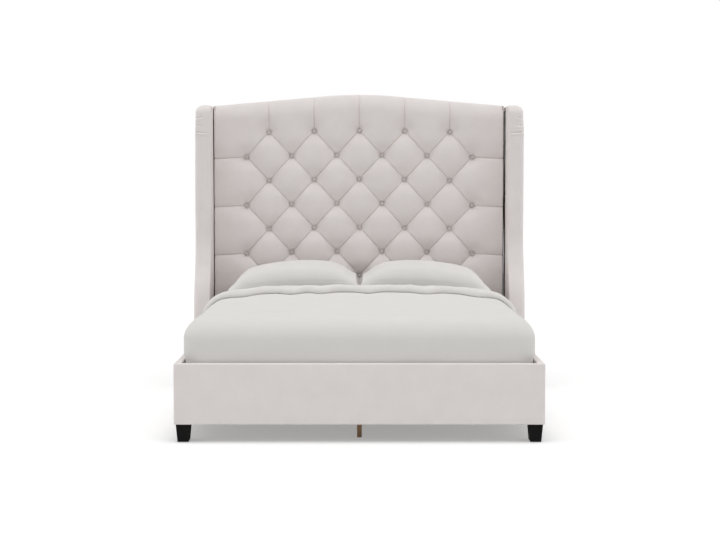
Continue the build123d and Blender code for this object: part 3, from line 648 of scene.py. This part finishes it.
def pad_rim(front):
    """The border of the front, carried back over the rim and in to the panel, as a grid."""
    loop = np.concatenate([front[0, :-1], front[:-1, -1], front[-1, :0:-1], front[:0:-1, 0],
                           front[:1, 0]])
    x, z = loop[:, 0], loop[:, 2]
    on_rim = z > pad_bottom + 1e-6
    far_back = np.where(on_rim, pad_back - skin, panel_face)
    inner_x = np.clip(x, rim - half_width, half_width - rim)
    inner_z = np.minimum(z, outline_top(inner_x) - rim)
    back_x = np.where(np.abs(x) > tuck_outer, np.copysign(half_width, x), x)
    back = triples(back_x, far_back, z)
    turned = triples(inner_x, far_back, inner_z)
    panel = triples(inner_x, panel_face - skin, inner_z)
    share = np.linspace(0, 1, 25)[:, None]
    unfold = ease(share, unfold_from, unfold_to)
    late = triples(unfold, share, share)
    run = loop + late * (back - loop)
    below_top = ease(outline_top(x) - z, *below_rim)
    tuck = tuck_depth * below_top * ease(share, 0, tuck_full) * (1 - unfold)
    run[..., 0] -= np.sign(x) * tuck * ease(np.abs(x), tuck_inner, tuck_outer)
    return np.concatenate([run, turned[None], panel[None]])


def fan(ring):
    """Triangles from a closed ring to its middle."""
    points = np.concatenate([ring[:-1], ring[:-1].mean(axis=0, keepdims=True)])
    count = len(ring) - 1
    here = np.arange(count)
    faces = triples(here, (here + 1) % count, count)
    return points, faces, points[:, [0, 2]]


rim_grid = pad_rim(front)
pad = piece("headboard_tufting", [front_part, grid(rim_grid), fan(rim_grid[-1])], upholstery,
            "bed_frame", ["headboard_pad"])

# %% [markdown]
# The sides of the pad that are tucked in beside the wings, and the wings' faces against them,
# are painted near black behind the padded edge and below the top roll: painted shade for the
# dark gap.

# %% Painted shade beside the wings
gap_shade_front = valley - 0.010
gap_shade_inner = half_width - 0.065


def paint_gap_shade(made, reach):
    """Painted shade: near-black cloth on the faces beside the gap, out to one reach from the bed's
    middle.
    """
    made.data.materials.append(gap_shade_cloth)
    count = len(made.data.polygons)
    centres = np.empty(count * 3, dtype=np.float32)
    made.data.polygons.foreach_get("center", centres)
    x, y, z = np.abs(centres.reshape(count, 3)).T
    gap_shaded = ((x > gap_shade_inner) & (x < reach) & (y > gap_shade_front) & (y < pad_back - 0.004)
             & (z > pad_bottom + 0.02) & (z < outline_top(x) - 0.03))
    made.data.polygons.foreach_set("material_index", gap_shaded.astype(np.int32))
    print(made.name, int(gap_shaded.sum()), "lined faces")


paint_gap_shade(pad, half_width + 0.001)

# %% [markdown]
# ## Covered buttons
#
# A covered button is a metal shell with cloth drawn over it, domed and slightly flattened. One
# profile of radius and height is turned round its axis, and the same button stands in each well.

# %% Buttons
button_radius = 0.0100
button_rise = 0.0070
button_sink = 0.0095


def turned_button(place):
    """A domed button: its radius falls from the rim to the middle as the height rises."""
    turn = np.linspace(0, 2 * math.pi, 17)[None, :]
    lift = np.radians([-90, -60, -30, 0, 25, 50, 70, 90])[:, None]
    radius = button_radius * np.cos(lift) ** 0.8
    rise = button_rise * (0.45 + 0.55 * np.sin(lift))
    x = place[0] + radius * np.cos(turn)
    z = place[1] - row_sag(place[0]) + radius * np.sin(turn)
    return triples(x, valley + button_sink - rise, z)


# The buttons' darker cloth is painted shade for their pits.
piece("covered_buttons", [grid(turned_button(place)) for place in buttons], shaded_button_cloth,
      "bed_frame", ["tuft_buttons"])

# %% [markdown]
# ## Wings
#
# A wing is a padded board at each side of the headboard. From the side it has a straight back and
# a front edge that swells forward low down. It is built from level rings, each a rounded
# rectangle between the front edge and the back, stacked from the bottom to the top. Near the top
# the rings shrink by quarter circles, so that the corners are round. Three short tucks, where the
# cloth is gathered round the top corner, are pressed in.

# %% Rounded rings
def rounded_rings(x_low, x_high, y_low, y_high, radii, arc=8, side=10):
    """Rounded rectangles, one for each level, and their outward directions.

    Each corner is a quarter turn about a centre one radius inside both sides, starting at high X
    and low Y; straight sides lie between. The last point repeats the first.
    """
    levels = len(x_low)
    corners = ((x_high, y_low, 1, -1, -90), (x_high, y_high, 1, 1, 0),
               (x_low, y_high, -1, 1, 90), (x_low, y_low, -1, -1, 180))
    arcs, turns = [], []
    for (x, y, to_x, to_y, first), radius in zip(corners, radii):
        turn = np.radians(first + np.linspace(0, 90, arc))
        radius = np.broadcast_to(radius, levels)[:, None]
        arcs.append(np.stack([x[:, None] - to_x * radius + radius * np.cos(turn),
                              y[:, None] - to_y * radius + radius * np.sin(turn)], axis=-1))
        turns.append(turn)
    rings, directions = [], []
    share = np.linspace(0, 1, side + 2)[1:-1]
    for here in range(4):
        following = arcs[(here + 1) % 4][:, :1]
        end = arcs[here][:, -1:]
        rings += [arcs[here], end + (following - end) * share[:, None]]
        directions += [turns[here], np.full(side, turns[here][-1])]
    rings = np.concatenate(rings, axis=1)
    directions = np.concatenate(directions)
    rings = np.concatenate([rings, rings[:, :1]], axis=1)
    return rings, np.append(directions, directions[0])


# %% Wings
wing_low, wing_high = box_of("wing_cover_right")
wing_bend_low = 0.390
wing_bend_high = 0.880
wing_high_front = wing_high[1] - 0.280
wing_outer_round = 0.042
wing_front_round = 0.045
wing_inner_round = 0.010
wing_back_round = 0.012
wing_edge = 0.021
wing_inner_edge = 0.005
wing_crown = 0.003
wing_lean = 0.004
gathered_from = 1.43
gathered_to = 1.59
crown_fades = 0.08
tuck_width = 0.0026
# Under each tuck the cloth puffs out again: by a share of its depth, so far below, so wide
puff_share = 0.45
puff_below = 0.010
puff_width = 0.007
# Each tuck: its height, how far in it reaches, its slope across the wing and its depth
tucks = (
    (1.542, 0.886, 0.24, 0.0032),
    (1.500, 0.886, 0.02, 0.0030),
    (1.462, 0.862, -0.10, 0.0052),
)


def wing_front(z):
    """The front edge: two equal arcs that meet halfway, tangent to the upright runs."""
    height = wing_bend_high - wing_bend_low
    width = wing_high_front - wing_low[1]
    radius = (height ** 2 + width ** 2) / (4 * width)
    rise = np.clip(z - wing_bend_low, 0, height)
    lower = wing_low[1] + radius - np.sqrt(radius ** 2 - np.minimum(rise, height / 2) ** 2)
    left = height - np.maximum(rise, height / 2)
    upper = wing_high_front - (radius - np.sqrt(radius ** 2 - left ** 2))
    return np.where(rise < height / 2, lower, upper)


def shrink(z, radius):
    """How far a quarter circle at the top draws a side in at each level."""
    up = np.clip(z - (wing_high[2] - radius), 0, radius)
    return radius - np.sqrt(np.maximum(radius ** 2 - up ** 2, 0))


def wing_levels():
    """The heights of the rings: closer at the bottom, where the tucks are and at the crest."""
    bottom = wing_low[2] + 0.006 * (1 - np.cos(np.radians(np.linspace(0, 90, 4))))
    swell = np.linspace(wing_low[2], gathered_from, 110)[1:]
    crest_low = wing_high[2] - wing_front_round
    gathered = np.linspace(gathered_from, crest_low, 100)
    crest = crest_low + wing_front_round * np.sin(np.radians(np.linspace(0, 90, 16)))
    return np.unique(np.concatenate([bottom, swell, gathered, crest]))


def wing(side, name):
    """One wing: rings from the bottom to the top, with a slight crown and three tucks."""
    z = wing_levels()
    top_left = wing_high[2] - z
    x_low = wing_low[0] + shrink(z, wing_inner_round)
    lean = wing_lean * ease(z, gathered_from, gathered_to)
    x_high = wing_high[0] - shrink(z, wing_outer_round) - lean
    y_low = wing_front(z) + shrink(z, wing_front_round)
    y_high = wing_high[1] - shrink(z, wing_back_round)
    room = (x_high - x_low) / 2 * 0.98
    radii = [np.minimum(radius, room)
             for radius in (wing_edge, wing_back_round, wing_back_round, wing_inner_edge)]
    rings, turns = rounded_rings(x_low, x_high, y_low, y_high, radii)
    x, y = rings[..., 0], rings[..., 1]
    across = (x - (x_low + x_high)[:, None] / 2) / ((x_high - x_low)[:, None] / 2)
    facing = np.clip(-np.sin(turns), 0, 1)[None, :]
    swell = wing_crown * (1 - across ** 2) * facing * ease(top_left, 0, crown_fades)[:, None]
    swell = swell + 0.0012 * ripple(x + y, z[:, None], 0.35, 11 + side)
    for level, inner_end, slope, depth in tucks:
        off = z[:, None] - level - slope * (wing_high[0] - 0.02 - x)
        strength = depth * ease(x, inner_end - 0.004, inner_end + 0.014) * facing ** 0.6
        swell = swell - strength * bell(off, tuck_width)
        swell = swell + puff_share * strength * bell(off + puff_below, puff_width)
    x = x + swell * np.cos(turns)
    y = y + swell * np.sin(turns)
    points = triples(side * x, y, z[:, None])
    made = piece(f"wing_{name}", [grid(capped(points))], upholstery,
                 "bed_frame", [f"wing_cover_{name}"])
    # Painted shade, near black, on the wing's face beside the gap.
    paint_gap_shade(made, wing_low[0] + 0.003)


wing(-1, "left")
wing(1, "right")

# %% [markdown]
# ## Padded boards
#
# The footboard and the side rails are boards with a thin layer of foam and cloth pulled tight
# over them. Each is a box whose points are drawn in to round edges: every point of the box's
# surface is moved to the nearest point of a smaller inner box, plus one radius. A slight swelling
# of the flat faces keeps them from looking like sheet metal.

# %% Rounded boxes
def stations(low, high, radius, count, round_low=True, round_high=True):
    """Places along one side of a box: even in the middle, closer over each round edge.

    Over a round edge they are one radius times the tangents of even angles up to 45 degrees.
    """
    turns = radius * np.tan(np.radians(np.linspace(45, 0, 8)))[:-1]
    first = low + radius if round_low else low
    last = high - radius if round_high else high
    middle = np.linspace(first, last, count)
    before = first - turns if round_low else []
    after = last + turns[::-1] if round_high else []
    return np.concatenate([before, middle, after])


def box_faces(places, skip=()):
    """The faces of a box as grids of points, from the places along X, Y and Z."""
    grids = []
    for axis in range(3):
        one, two = [other for other in range(3) if other != axis]
        for end in (0, -1):
            if (axis, end) not in skip:
                face = np.empty((len(places[one]), len(places[two]), 3))
                face[..., axis] = places[axis][end]
                face[..., one] = places[one][:, None]
                face[..., two] = places[two][None, :]
                grids.append(face)
    return grids


def rounded(points, low, high, radius):
    """Box points drawn in to round edges about the inner box."""
    inner_box = np.clip(points, low + radius, high - radius)
    away = (points - inner_box) / radius
    size = np.linalg.norm(away, axis=-1, keepdims=True)
    return inner_box + radius * away / np.maximum(size, 1e-9)


# %% Footboard and rails
board_round = 0.005
board_swell = 0.0012
board_step = 0.012


def padded_board(name, node, faces_x, seed):
    """A board in its cover; faces_x says whether its broad faces look along X or along Y."""
    low, high = box_of(node)
    radius = np.full(3, board_round)
    counts = np.maximum(2, ((high - low) / board_step).astype(int))
    places = [stations(low[axis], high[axis], board_round, counts[axis]) for axis in range(3)]
    parts = []
    thin = 0 if faces_x else 1
    long = 1 - thin
    middle = (low + high) / 2
    reach = (high - low) / 2
    for face in box_faces(places):
        points = rounded(face, low, high, radius)
        share = (points - middle) / reach
        soft = board_swell * (1 - share[..., long] ** 8) * (1 - share[..., 2] ** 4)
        soft = soft + 0.0005 * ripple(points[..., long], points[..., 2], 0.25, seed)
        outward = np.clip(share[..., thin], -1, 1)
        points[..., thin] += outward * soft
        parts.append(grid(points))
    made = piece(name, parts, upholstery, "bed_frame", [node])


padded_board("footboard", "footboard_cover", False, 21)
padded_board("side_rail_left", "side_rail_cover_left", True, 22)
padded_board("side_rail_right", "side_rail_cover_right", True, 23)

# %% [markdown]
# ## Back of the headboard
#
# The back is closed with the same cloth, stretched flat over the frame and stapled under a turned
# edge. It is a thin panel on the arched outline, which sags in slightly between the frame's rails.

# %% Back cloth
cloth_frame = ("headboard_top_rail", "headboard_mid_rail", "headboard_low_rail",
               "headboard_post_left", "headboard_post_right")
welt_height = 0.0022
welt_inset = 0.012
welt_width = 0.005
sag_depth = 0.006
edge_rolled = 0.004


def open_span(x, z):
    """How far a place behind the headboard is from the nearest board of its frame."""
    span = np.full(np.broadcast(x, z).shape, 1.0)
    for name in cloth_frame:
        board_low, board_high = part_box(name)
        off_x = np.maximum(np.maximum(board_low.x - x, x - board_high.x), 0)
        off_z = np.maximum(np.maximum(board_low.z - z, z - board_high.z), 0)
        span = np.minimum(span, np.hypot(off_x, off_z))
    return span


def back_cloth():
    """A thin panel on the arched outline: rows from its bottom edge up to the arch."""
    low, high = box_of("headboard_back_cloth")
    inset = half_width - high[0]
    x = np.linspace(low[0], high[0], 160)[None, :]
    share = np.linspace(0, 1, 130)[:, None]
    top = outline_top(x) - inset
    z = low[2] + share * (top - low[2])
    edge = np.minimum(np.minimum(high[0] - np.abs(x), top - z), z - low[2])
    welt = welt_height * bell(edge - welt_inset, welt_width)
    sag = sag_depth * ease(open_span(x, z), 0.004, 0.16) * (0.8 + 0.2 * ripple(x, z, 0.5, 31))
    rolled = np.clip(1 - edge / edge_rolled, 0, 1)
    outer_face = triples(x, high[1] - skin + welt - sag - 0.0012 * rolled, z)
    inner_face = triples(x, low[1] + 0.0001 - sag, z)
    sides = [np.stack([outer_face[row], inner_face[row]]) for row in (0, -1)]
    sides += [np.stack([outer_face[:, column], inner_face[:, column]]) for column in (0, -1)]
    parts = [grid(outer_face), grid(inner_face)] + [grid(side) for side in sides]
    piece("back_cloth", parts, upholstery, "bed_frame",
          ["headboard_back_cloth"])


back_cloth()

# %% [markdown]
# ## Mattress
#
# The mattress is a sprung block in knitted ticking. Its top and bottom are quilted in a diamond
# pattern that is stitched through a thin layer of wadding, and its border has two stitched
# lines. The two border tapes are kept from the frame.

# %% Mattress
mattress_low, mattress_high = box_of("mattress")
quilt_pitch = 0.125
quilt_depth = 0.005
stitch_width = 0.010
mattress_round = np.array([0.06, 0.06, 0.018])
border_line_up = 0.05
border_line_width = 0.006
border_line_depth = 0.0025


def quilted(u, v):
    """How deep a diamond quilting is: deepest on its stitch lines, fading with the distance."""
    one = np.abs((u + v) / quilt_pitch - np.round((u + v) / quilt_pitch))
    two = np.abs((u - v) / quilt_pitch - np.round((u - v) / quilt_pitch))
    near = np.minimum(one, two) * quilt_pitch / math.sqrt(2)
    return quilt_depth * np.exp(-near / stitch_width)


def mattress():
    """A rounded box: quilted on its flat faces, with two stitched lines 50 mm from mid height."""
    places = [stations(mattress_low[axis], mattress_high[axis], mattress_round[axis], count)
              for axis, count in enumerate((150, 200, 18))]
    parts = []
    middle = (mattress_low + mattress_high) / 2
    reach = (mattress_high - mattress_low) / 2
    for face in box_faces(places):
        points = rounded(face, mattress_low, mattress_high, mattress_round)
        share = np.abs(points - middle) / reach
        flat = ease(share[..., 2], 0.9, 0.999) * (1 - ease(share[..., 0], 0.93, 0.985))
        flat = flat * (1 - ease(share[..., 1], 0.94, 0.985))
        sunk = flat * quilted(points[..., 0], points[..., 1])
        points[..., 2] -= np.sign(points[..., 2] - middle[2]) * sunk
        border = 1 - ease(share[..., 2], 0.7, 0.85)
        up = points[..., 2] - middle[2]
        lines = bell(up - border_line_up, border_line_width)
        lines += bell(up + border_line_up, border_line_width)
        outward = (points - middle) * [1, 1, 0]
        outward /= np.maximum(np.linalg.norm(outward, axis=-1, keepdims=True), 1e-6)
        points -= outward * (border_line_depth * lines * border)[..., None]
        parts.append(grid(points))
    made = piece("mattress_body", parts, ticking, "mattress", ["mattress"])


mattress()

# %% [markdown]
# ## Duvet
#
# The duvet is two sheets of cotton with down between them. It lies over the mattress, drops
# between the mattress and the rails, and puffs out above the rails. Its shape is a rounded box
# without a bottom: wide, soft roundings over the foot and the sides, a crown along the middle, a
# neck at the rails, and a slow unevenness. A second, smaller box is its lining, and a narrow band
# along the hem joins the two.

# %% The duvet's outer form
duvet_low, duvet_high = box_of("duvet")
rail_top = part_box("side_rail_cover_right")[1].z
rail_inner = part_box("side_rail_cover_right")[0].x
mattress_top = mattress_high[2]
duvet_half = rail_inner - 0.012
duvet_puff = 0.036
duvet_taper = 0.9
duvet_foot_top = mattress_top + 0.034
duvet_crown_top = mattress_top + 0.057
duvet_shoulder = 2.73
duvet_waist = 1.0
waist_middle = 0.5
waist_length = 0.25
fold_width = 0.160
hollow_depth = 0.0055
hollow_length = 0.08
lip_length = 0.050
dips = np.array([-0.61, -0.361, -0.207, 0.048, 0.355, 0.61])
duvet_radius = np.array([0.092, 0.085, 0.100])
box_low = np.array([-duvet_half, duvet_low[1], -1.0])
box_high = np.array([duvet_half, duvet_high[1], duvet_foot_top])


def lip_wave(x):
    """From 0 to 1: where the lip of the folded end turns under and hangs lower."""
    return bell(x[..., None] - dips, lip_length).sum(axis=-1)


def duvet_form(points):
    """Box points turned to the duvet's outer surface: rounded, crowned, puffed and uneven."""
    points = rounded(points, box_low, box_high, duvet_radius)
    x, y, z = points[..., 0], points[..., 1], points[..., 2]
    along = np.clip((y - duvet_low[1]) / duvet_taper, 0, 1) ** 0.55
    side = np.abs(x) / duvet_half
    to_head = (y - duvet_low[1]) / (duvet_high[1] - duvet_low[1])
    shoulder = duvet_shoulder + duvet_waist * bell(to_head - waist_middle, waist_length)
    crown_share = np.clip(to_head, 0, 1) ** 0.8 * (1 - shoulder * side ** 4.5)
    lift = (duvet_crown_top - duvet_foot_top) * crown_share
    lift = lift * ease(z, rail_top + 0.05, duvet_foot_top)
    puff = duvet_puff * along * ease(z, rail_top + 0.002, rail_top + 0.032) * side ** 4
    open_top = ease(z, rail_top + 0.06, duvet_foot_top)
    soft = 0.0035 * ripple(x, y, 0.55, 41) + 0.0015 * ripple(x, y, 0.22, 42)
    under_lip = bell(y - duvet_high[1] + fold_width, hollow_length)
    soft = soft - hollow_depth * lip_wave(x) * under_lip
    side_soft = 0.003 * ripple(y, z, 0.4, 43) * open_top * side ** 4
    foot_soft = 0.003 * ripple(x, z, 0.5, 44) * (1 - ease(to_head, 0, 0.06))
    foot_soft = foot_soft * ease(z, rail_top, rail_top + 0.05)
    return triples(x + np.sign(x) * (puff + side_soft), y - foot_soft, z + lift + soft * open_top)


print("duvet", round(2 * (duvet_half + duvet_puff), 3), "wide,", round(duvet_crown_top, 3), "high")

# %% [markdown]
# The lining lies just over the mattress. Both sheets get the same number of points, so that one
# strip can join them: down round the hem, and round the head end, with a half-round edge.

# %% The duvet as a closed shell
tape_low, tape_high = box_of("mattress_border_tapes")
lining_gap = 0.0009
edge_round = 0.012
hem_line = duvet_low[2] + edge_round
head_line = duvet_high[1] - edge_round
lining_low = np.array([tape_low[0] - lining_gap, tape_low[1] - lining_gap, -1.0])
lining_high = np.array([tape_high[0] + lining_gap, head_line + 1, mattress_top + lining_gap])
lining_radius = np.array([0.06, 0.06, 0.008])


def open_box(low, high, radius, form):
    """Left, right, foot and top faces of a box open at the bottom and the head, after a form."""
    places = [
        stations(low[0], high[0], radius[0], 130),
        stations(low[1], head_line, radius[1], 120, round_high=False),
        stations(hem_line, high[2], radius[2], 14, round_low=False),
    ]
    return [form(face) for face in box_faces(places, skip=((1, -1), (2, 0)))]


def open_edge(faces):
    """The whole open edge of such a box as one closed line: hem first, then the head end."""
    left, right, foot, top = faces
    return np.concatenate([left[:0:-1, 0], foot[:-1, 0], right[:-1, 0],
                           right[-1, :-1], top[:0:-1, -1], left[-1, ::-1]])


def lining_form(points):
    """Box points turned to the lining: only rounded."""
    return rounded(points, lining_low, lining_high, lining_radius)


def rounded_strip(outer, inner):
    """A strip between two open edges that bulges down along the hem and back at the head."""
    turn = np.linspace(0, math.pi, 9)[:, None, None]
    strip = (outer + inner) / 2 + np.cos(turn) * (outer - inner) / 2
    at_head = outer[:, 1] > head_line - 1e-6
    at_hem = outer[:, 2] < hem_line + 1e-6
    strip[..., 2] -= edge_round * np.sin(turn[..., 0]) * (at_hem & ~at_head)
    strip[..., 1] += edge_round * np.sin(turn[..., 0]) * (at_head & ~at_hem)
    return strip


outside = open_box(box_low, box_high, duvet_radius, duvet_form)
lining = open_box(lining_low, lining_high, lining_radius, lining_form)
strip = rounded_strip(open_edge(outside), open_edge(lining))
duvet = piece("duvet_cover", [grid(sheet) for sheet in outside + lining + [strip]], duvet_cotton,
              "duvet", ["duvet"])

# %% [markdown]
# ### The folded head end
#
# The head end of the duvet is folded back once over its top. The fold is a soft roll with a flat
# top. Its cross-section, a rounded strip with a sloping front and a tight lip, is carried across
# the bed along the duvet's own surface. Its lip wanders a little and the ends taper off at the
# sides.

# %% Folded band
fold_rise = 0.035
fold_slope = 0.024
lip_rise = 0.0075
lip_under = 0.009
fold_end = duvet_low[2] + 0.133
fold_taper = 0.07
lip_swing = 0.040
lip_ripple = 0.008
fold_lift = 0.0005
normal_step = 0.002


def surface_frame(x_box, y, z_box):
    """Places on the duvet and its outward normals: cross products of the slopes over 2 mm."""
    def at(move_x, move_y, move_z):
        return duvet_form(triples(x_box + move_x, y + move_y, z_box + move_z))
    side = np.abs(x_box) >= duvet_half - 1e-9
    step = normal_step
    sign = np.sign(x_box)
    across = np.where(side[..., None], at(0, 0, -step * sign) - at(0, 0, step * sign),
                      at(step, 0, 0) - at(-step, 0, 0))
    forward = at(0, step, 0) - at(0, -step, 0)
    normal = np.cross(across, forward)
    return at(0, 0, 0), normal / np.linalg.norm(normal, axis=-1, keepdims=True)


def fold_band():
    """The band: a rounded strip carried along the duvet from its left side to its right side."""
    sides = np.linspace(fold_end, duvet_foot_top, 22)[:-1]
    top = np.linspace(-duvet_half, duvet_half, 260)
    x_box = np.concatenate([np.full(len(sides), -duvet_half), top, np.full(len(sides), duvet_half)])
    z_box = np.concatenate([sides, np.full(len(top), duvet_foot_top), sides[::-1]])
    length = np.concatenate([[0], np.cumsum(np.hypot(np.diff(x_box), np.diff(z_box)))])
    to_end = np.minimum(length, length[-1] - length)
    taper = np.sqrt(np.clip(1 - (1 - np.clip(to_end / fold_taper, 0, 1)) ** 2, 0, 1))
    thick = fold_rise * (0.55 + 0.45 * ease(to_end, 0.0, 0.25)) * taper
    wave = lip_wave(x_box)
    uneven = lip_ripple * ripple(x_box, 0 * x_box, 0.5, 51)
    front = duvet_high[1] - fold_width - lip_swing * wave + uneven
    turn = np.radians(np.linspace(-90, 90, 17))
    flat = np.linspace(0, 1, 26)[1:-1]
    front, thick, taper = front[:, None], np.maximum(thick, 2e-5)[:, None], taper[:, None]
    radius = thick / 2
    high = duvet_high[1] - 0.001 - radius
    slope, under, lip = fold_slope * taper, lip_under * taper, np.minimum(lip_rise, thick / 4)
    head_y, head_rise = high + radius * np.cos(turn), radius * (1 + np.sin(turn))
    top_y = high + flat * (front + slope - high)
    down = turn[::-1]
    lip_y = front + np.where(down > 0, slope, under) * (1 - np.cos(down))
    lip_lift = np.where(down > 0, lip + (thick - lip) * np.sin(down), lip * (1 + np.sin(down)))
    under_y = front + under + flat * (high - front - under)
    y = np.concatenate([head_y, top_y, lip_y, under_y, head_y[:, :1]], axis=1)
    rise = np.concatenate([head_rise, thick + 0 * top_y, lip_lift, 0 * under_y, 0 * front], axis=1)
    x_box, z_box = x_box[:, None], z_box[:, None]
    places, normals = surface_frame(x_box, y, z_box)
    upper = np.clip(rise / thick, 0, 1) ** 2
    crease = 0.0035 * ripple(x_box, y, 0.16, 52) + 0.002 * ripple(x_box, y * 0.3, 0.07, 53)
    points = places + normals * (rise + fold_lift + crease * upper * taper)[..., None]
    return capped(points, shares=(0.5, 0))


fold = piece("duvet_fold", [grid(fold_band())], duvet_cotton, "duvet")

# %% [markdown]
# ## Pillows
#
# A pillow is a bag of two equal pieces of cotton, filled until it swells. Its section is flat
# underneath, where it lies on the mattress, and domed above. Towards the seams it thins out,
# and its four corners stay as small ears, while the sides between them are drawn in.

# %% Pillows
# Heights along a pillow's middle, from its outer tip (-1) to its inner tip (1), and the same
# across it, from its front (-1) to its back (1), as shares of the whole rise above the seam
pillow_along = np.array([
    (-1, 0.0), (-0.945, 0.14), (-0.855, 0.41), (-0.75, 0.63), (-0.57, 0.785), (-0.35, 0.885),
    (-0.1, 0.96), (0.15, 1.0), (0.33, 0.995), (0.52, 0.945), (0.70, 0.82), (0.80, 0.68),
    (0.88, 0.51), (0.94, 0.40), (0.98, 0.29), (1, 0.0),
])
pillow_across = np.array([
    (-1, 0.0), (-0.97, 0.22), (-0.93, 0.42), (-0.87, 0.60), (-0.80, 0.72), (-0.70, 0.81),
    (-0.50, 0.90), (-0.20, 0.975), (0.10, 1.0), (0.40, 0.96), (0.65, 0.84), (0.82, 0.62),
    (0.93, 0.36), (1, 0.0),
])
pillow_seam_outer = 0.585
pillow_seam_inner = 0.612
pillow_outer_draw = 0.014
pillow_inner_draw = 0.005
pillow_loft = 0.010
pillow_side_draw = 0.050
pillow_tuck = 0.008
pillow_end_draw = 0.004
pillow_fullness = 2.4
pillow_floor = 0.0006
end_steepness = 2.2


def smooth_line(pairs, at):
    """A smooth curve through pairs of place and height: cubics with slopes from the neighbours."""
    place, height = pairs.T
    slopes = np.gradient(height, place)
    slopes[[0, -1]] = end_steepness * np.diff(height)[[0, -1]] / np.diff(place)[[0, -1]]
    step = np.clip(np.searchsorted(place, at, side="right") - 1, 0, len(place) - 2)
    width = place[step + 1] - place[step]
    t = (at - place[step]) / width
    return ((1 + 2 * t) * (1 - t) ** 2 * height[step] + t * (1 - t) ** 2 * width * slopes[step]
            + t * t * (3 - 2 * t) * height[step + 1] + t * t * (t - 1) * width * slopes[step + 1])


def pillow(node, side, seed):
    """Two sheets over u and v from -1 to 1 that meet in the seam.

    The upper one rises above the seam by the product of the two height curves. The lower one
    falls by a similar, fuller product and lies flat on the mattress. The seam's four sides are
    drawn in between its corners.
    """
    low, high = box_of(node)
    middle = (low + high) / 2
    reach = (high - low) / 2
    turn = np.radians(np.linspace(-90, 90, 141))
    u = np.sin(turn)[None, :]
    v = np.sin(turn)[:, None]
    inward = -side * u
    x = middle[0] + reach[0] * u * (1 - pillow_end_draw * (1 - v ** 2))
    x = x - side * pillow_outer_draw * ease(-inward, 0.2, 1)
    x = x + side * pillow_inner_draw * ease(inward, 0.5, 1)
    y = middle[1] + reach[1] * v * (1 - pillow_side_draw * (1 - u ** 2))
    seam = pillow_seam_outer + (pillow_seam_inner - pillow_seam_outer) * ease(inward, -1, 1)
    across = smooth_line(pillow_across, v)
    along = smooth_line(pillow_along, inward)
    rise = along * across
    y = y + pillow_tuck * along ** 2 * np.clip(-v, 0, 1) ** 3 * (1 - ease(across, 0.0, 0.40))
    soft = 0.0025 * ripple(x, y, 0.3, seed) + 0.001 * ripple(x, y, 0.12, seed + 1)
    upper = seam + (high[2] + pillow_loft - seam) * rise + soft * np.minimum(rise * 3, 1)
    below = np.sqrt((1 - u ** 2) * (1 - v ** 2) + 1e-9)
    fall = (seam - low[2]) * pillow_fullness * below
    lower = seam - np.minimum(fall, seam - low[2] - pillow_floor)
    sheets = [grid(triples(x, y, height)) for height in (upper, lower)]
    made = piece(f"{node}_cushion", sheets, pillow_cotton, node, [node], sharp=80)


pillow("pillow_left", -1, 61)
pillow("pillow_right", 1, 63)

# %% [markdown]
# ## Floor
#
# The floor is a pale studio sweep. The camera sees it white with the bed's soft shadow on it, and
# the light that it throws back up is that of a pale grey: one node tells camera rays from others.

# %% Floor
floor_mesh = bpy.data.meshes.new("floor")
floor_mesh.from_pydata([(-30, -30, 0), (30, -30, 0), (30, 30, 0), (-30, 30, 0)], [], [(0, 1, 2, 3)])
floor = new_object("floor", floor_mesh)

floor_bounce = "#E6E6E6"
floor_seen = "#DCDCDC"
floor_glow = 0.32
paint, paint_shader = finish("studio_floor", {"Roughness": 1.0, "Specular IOR Level": 0.0,
                                              "Emission Color": (1, 1, 1, 1)})
seen_by = add_node(paint, "LightPath").outputs["Is Camera Ray"]
shade = add_node(paint, "Mix", {0: seen_by, 6: linear(floor_bounce), 7: linear(floor_seen)},
                 data_type="RGBA")
glow = add_node(paint, "Math", {0: seen_by, 1: floor_glow}, operation="MULTIPLY")
paint.node_tree.links.new(shade.outputs[2], paint_shader.inputs["Base Color"])
paint.node_tree.links.new(glow.outputs[0], paint_shader.inputs["Emission Strength"])
floor_mesh.materials.append(paint)
print("floor", floor_bounce, "to the bed,", floor_seen, "to the camera")

# %% [markdown]
# ## Light
#
# A wide sun stands for a large softbox above and a little in front. The world lights from all
# around, and more from the left and the right, as two white side walls do: it grows with the
# square of how sideways a direction is. The camera itself sees the world as plain white.

# %% World and sun
world_strength = 0.55
world_even = 0.4
world_sides = 2.1
sun_strength = 1.60
sun_width = math.radians(50)
sun_tilt = math.radians(15)
world = bpy.data.worlds.new("studio")
world.use_nodes = True
bpy.context.scene.world = world
background = world.node_tree.nodes["Background"]
background.inputs["Color"].default_value = (1, 1, 1, 1)
path = add_node(world, "LightPath").outputs
seen = path["Is Camera Ray"]
for other in ("Is Glossy Ray", "Is Transmission Ray"):
    seen = add_node(world, "Math", {0: seen, 1: path[other]}, operation="MAXIMUM").outputs[0]
direction = add_node(world, "TexCoord").outputs["Generated"]
sideways = add_node(world, "SeparateXYZ", {0: direction}).outputs["X"]
squared = add_node(world, "Math", {0: sideways, 1: sideways}, operation="MULTIPLY").outputs[0]
light = add_node(world, "Math", {0: squared, 1: world_strength * world_sides,
                 2: world_strength * world_even}, operation="MULTIPLY_ADD").outputs[0]
strength = add_node(world, "MapRange", {"Value": seen, "To Min": light, "To Max": 1.0})
world.node_tree.links.new(strength.outputs[0], background.inputs["Strength"])

sun = new_object("sun", bpy.data.lights.new("sun", "SUN"))
sun.data.energy = sun_strength
sun.data.angle = sun_width
sun.rotation_euler = (sun_tilt, 0, 0)

bpy.context.scene.view_settings.view_transform = "Standard"
print("sun", sun_strength, "world", world_strength)
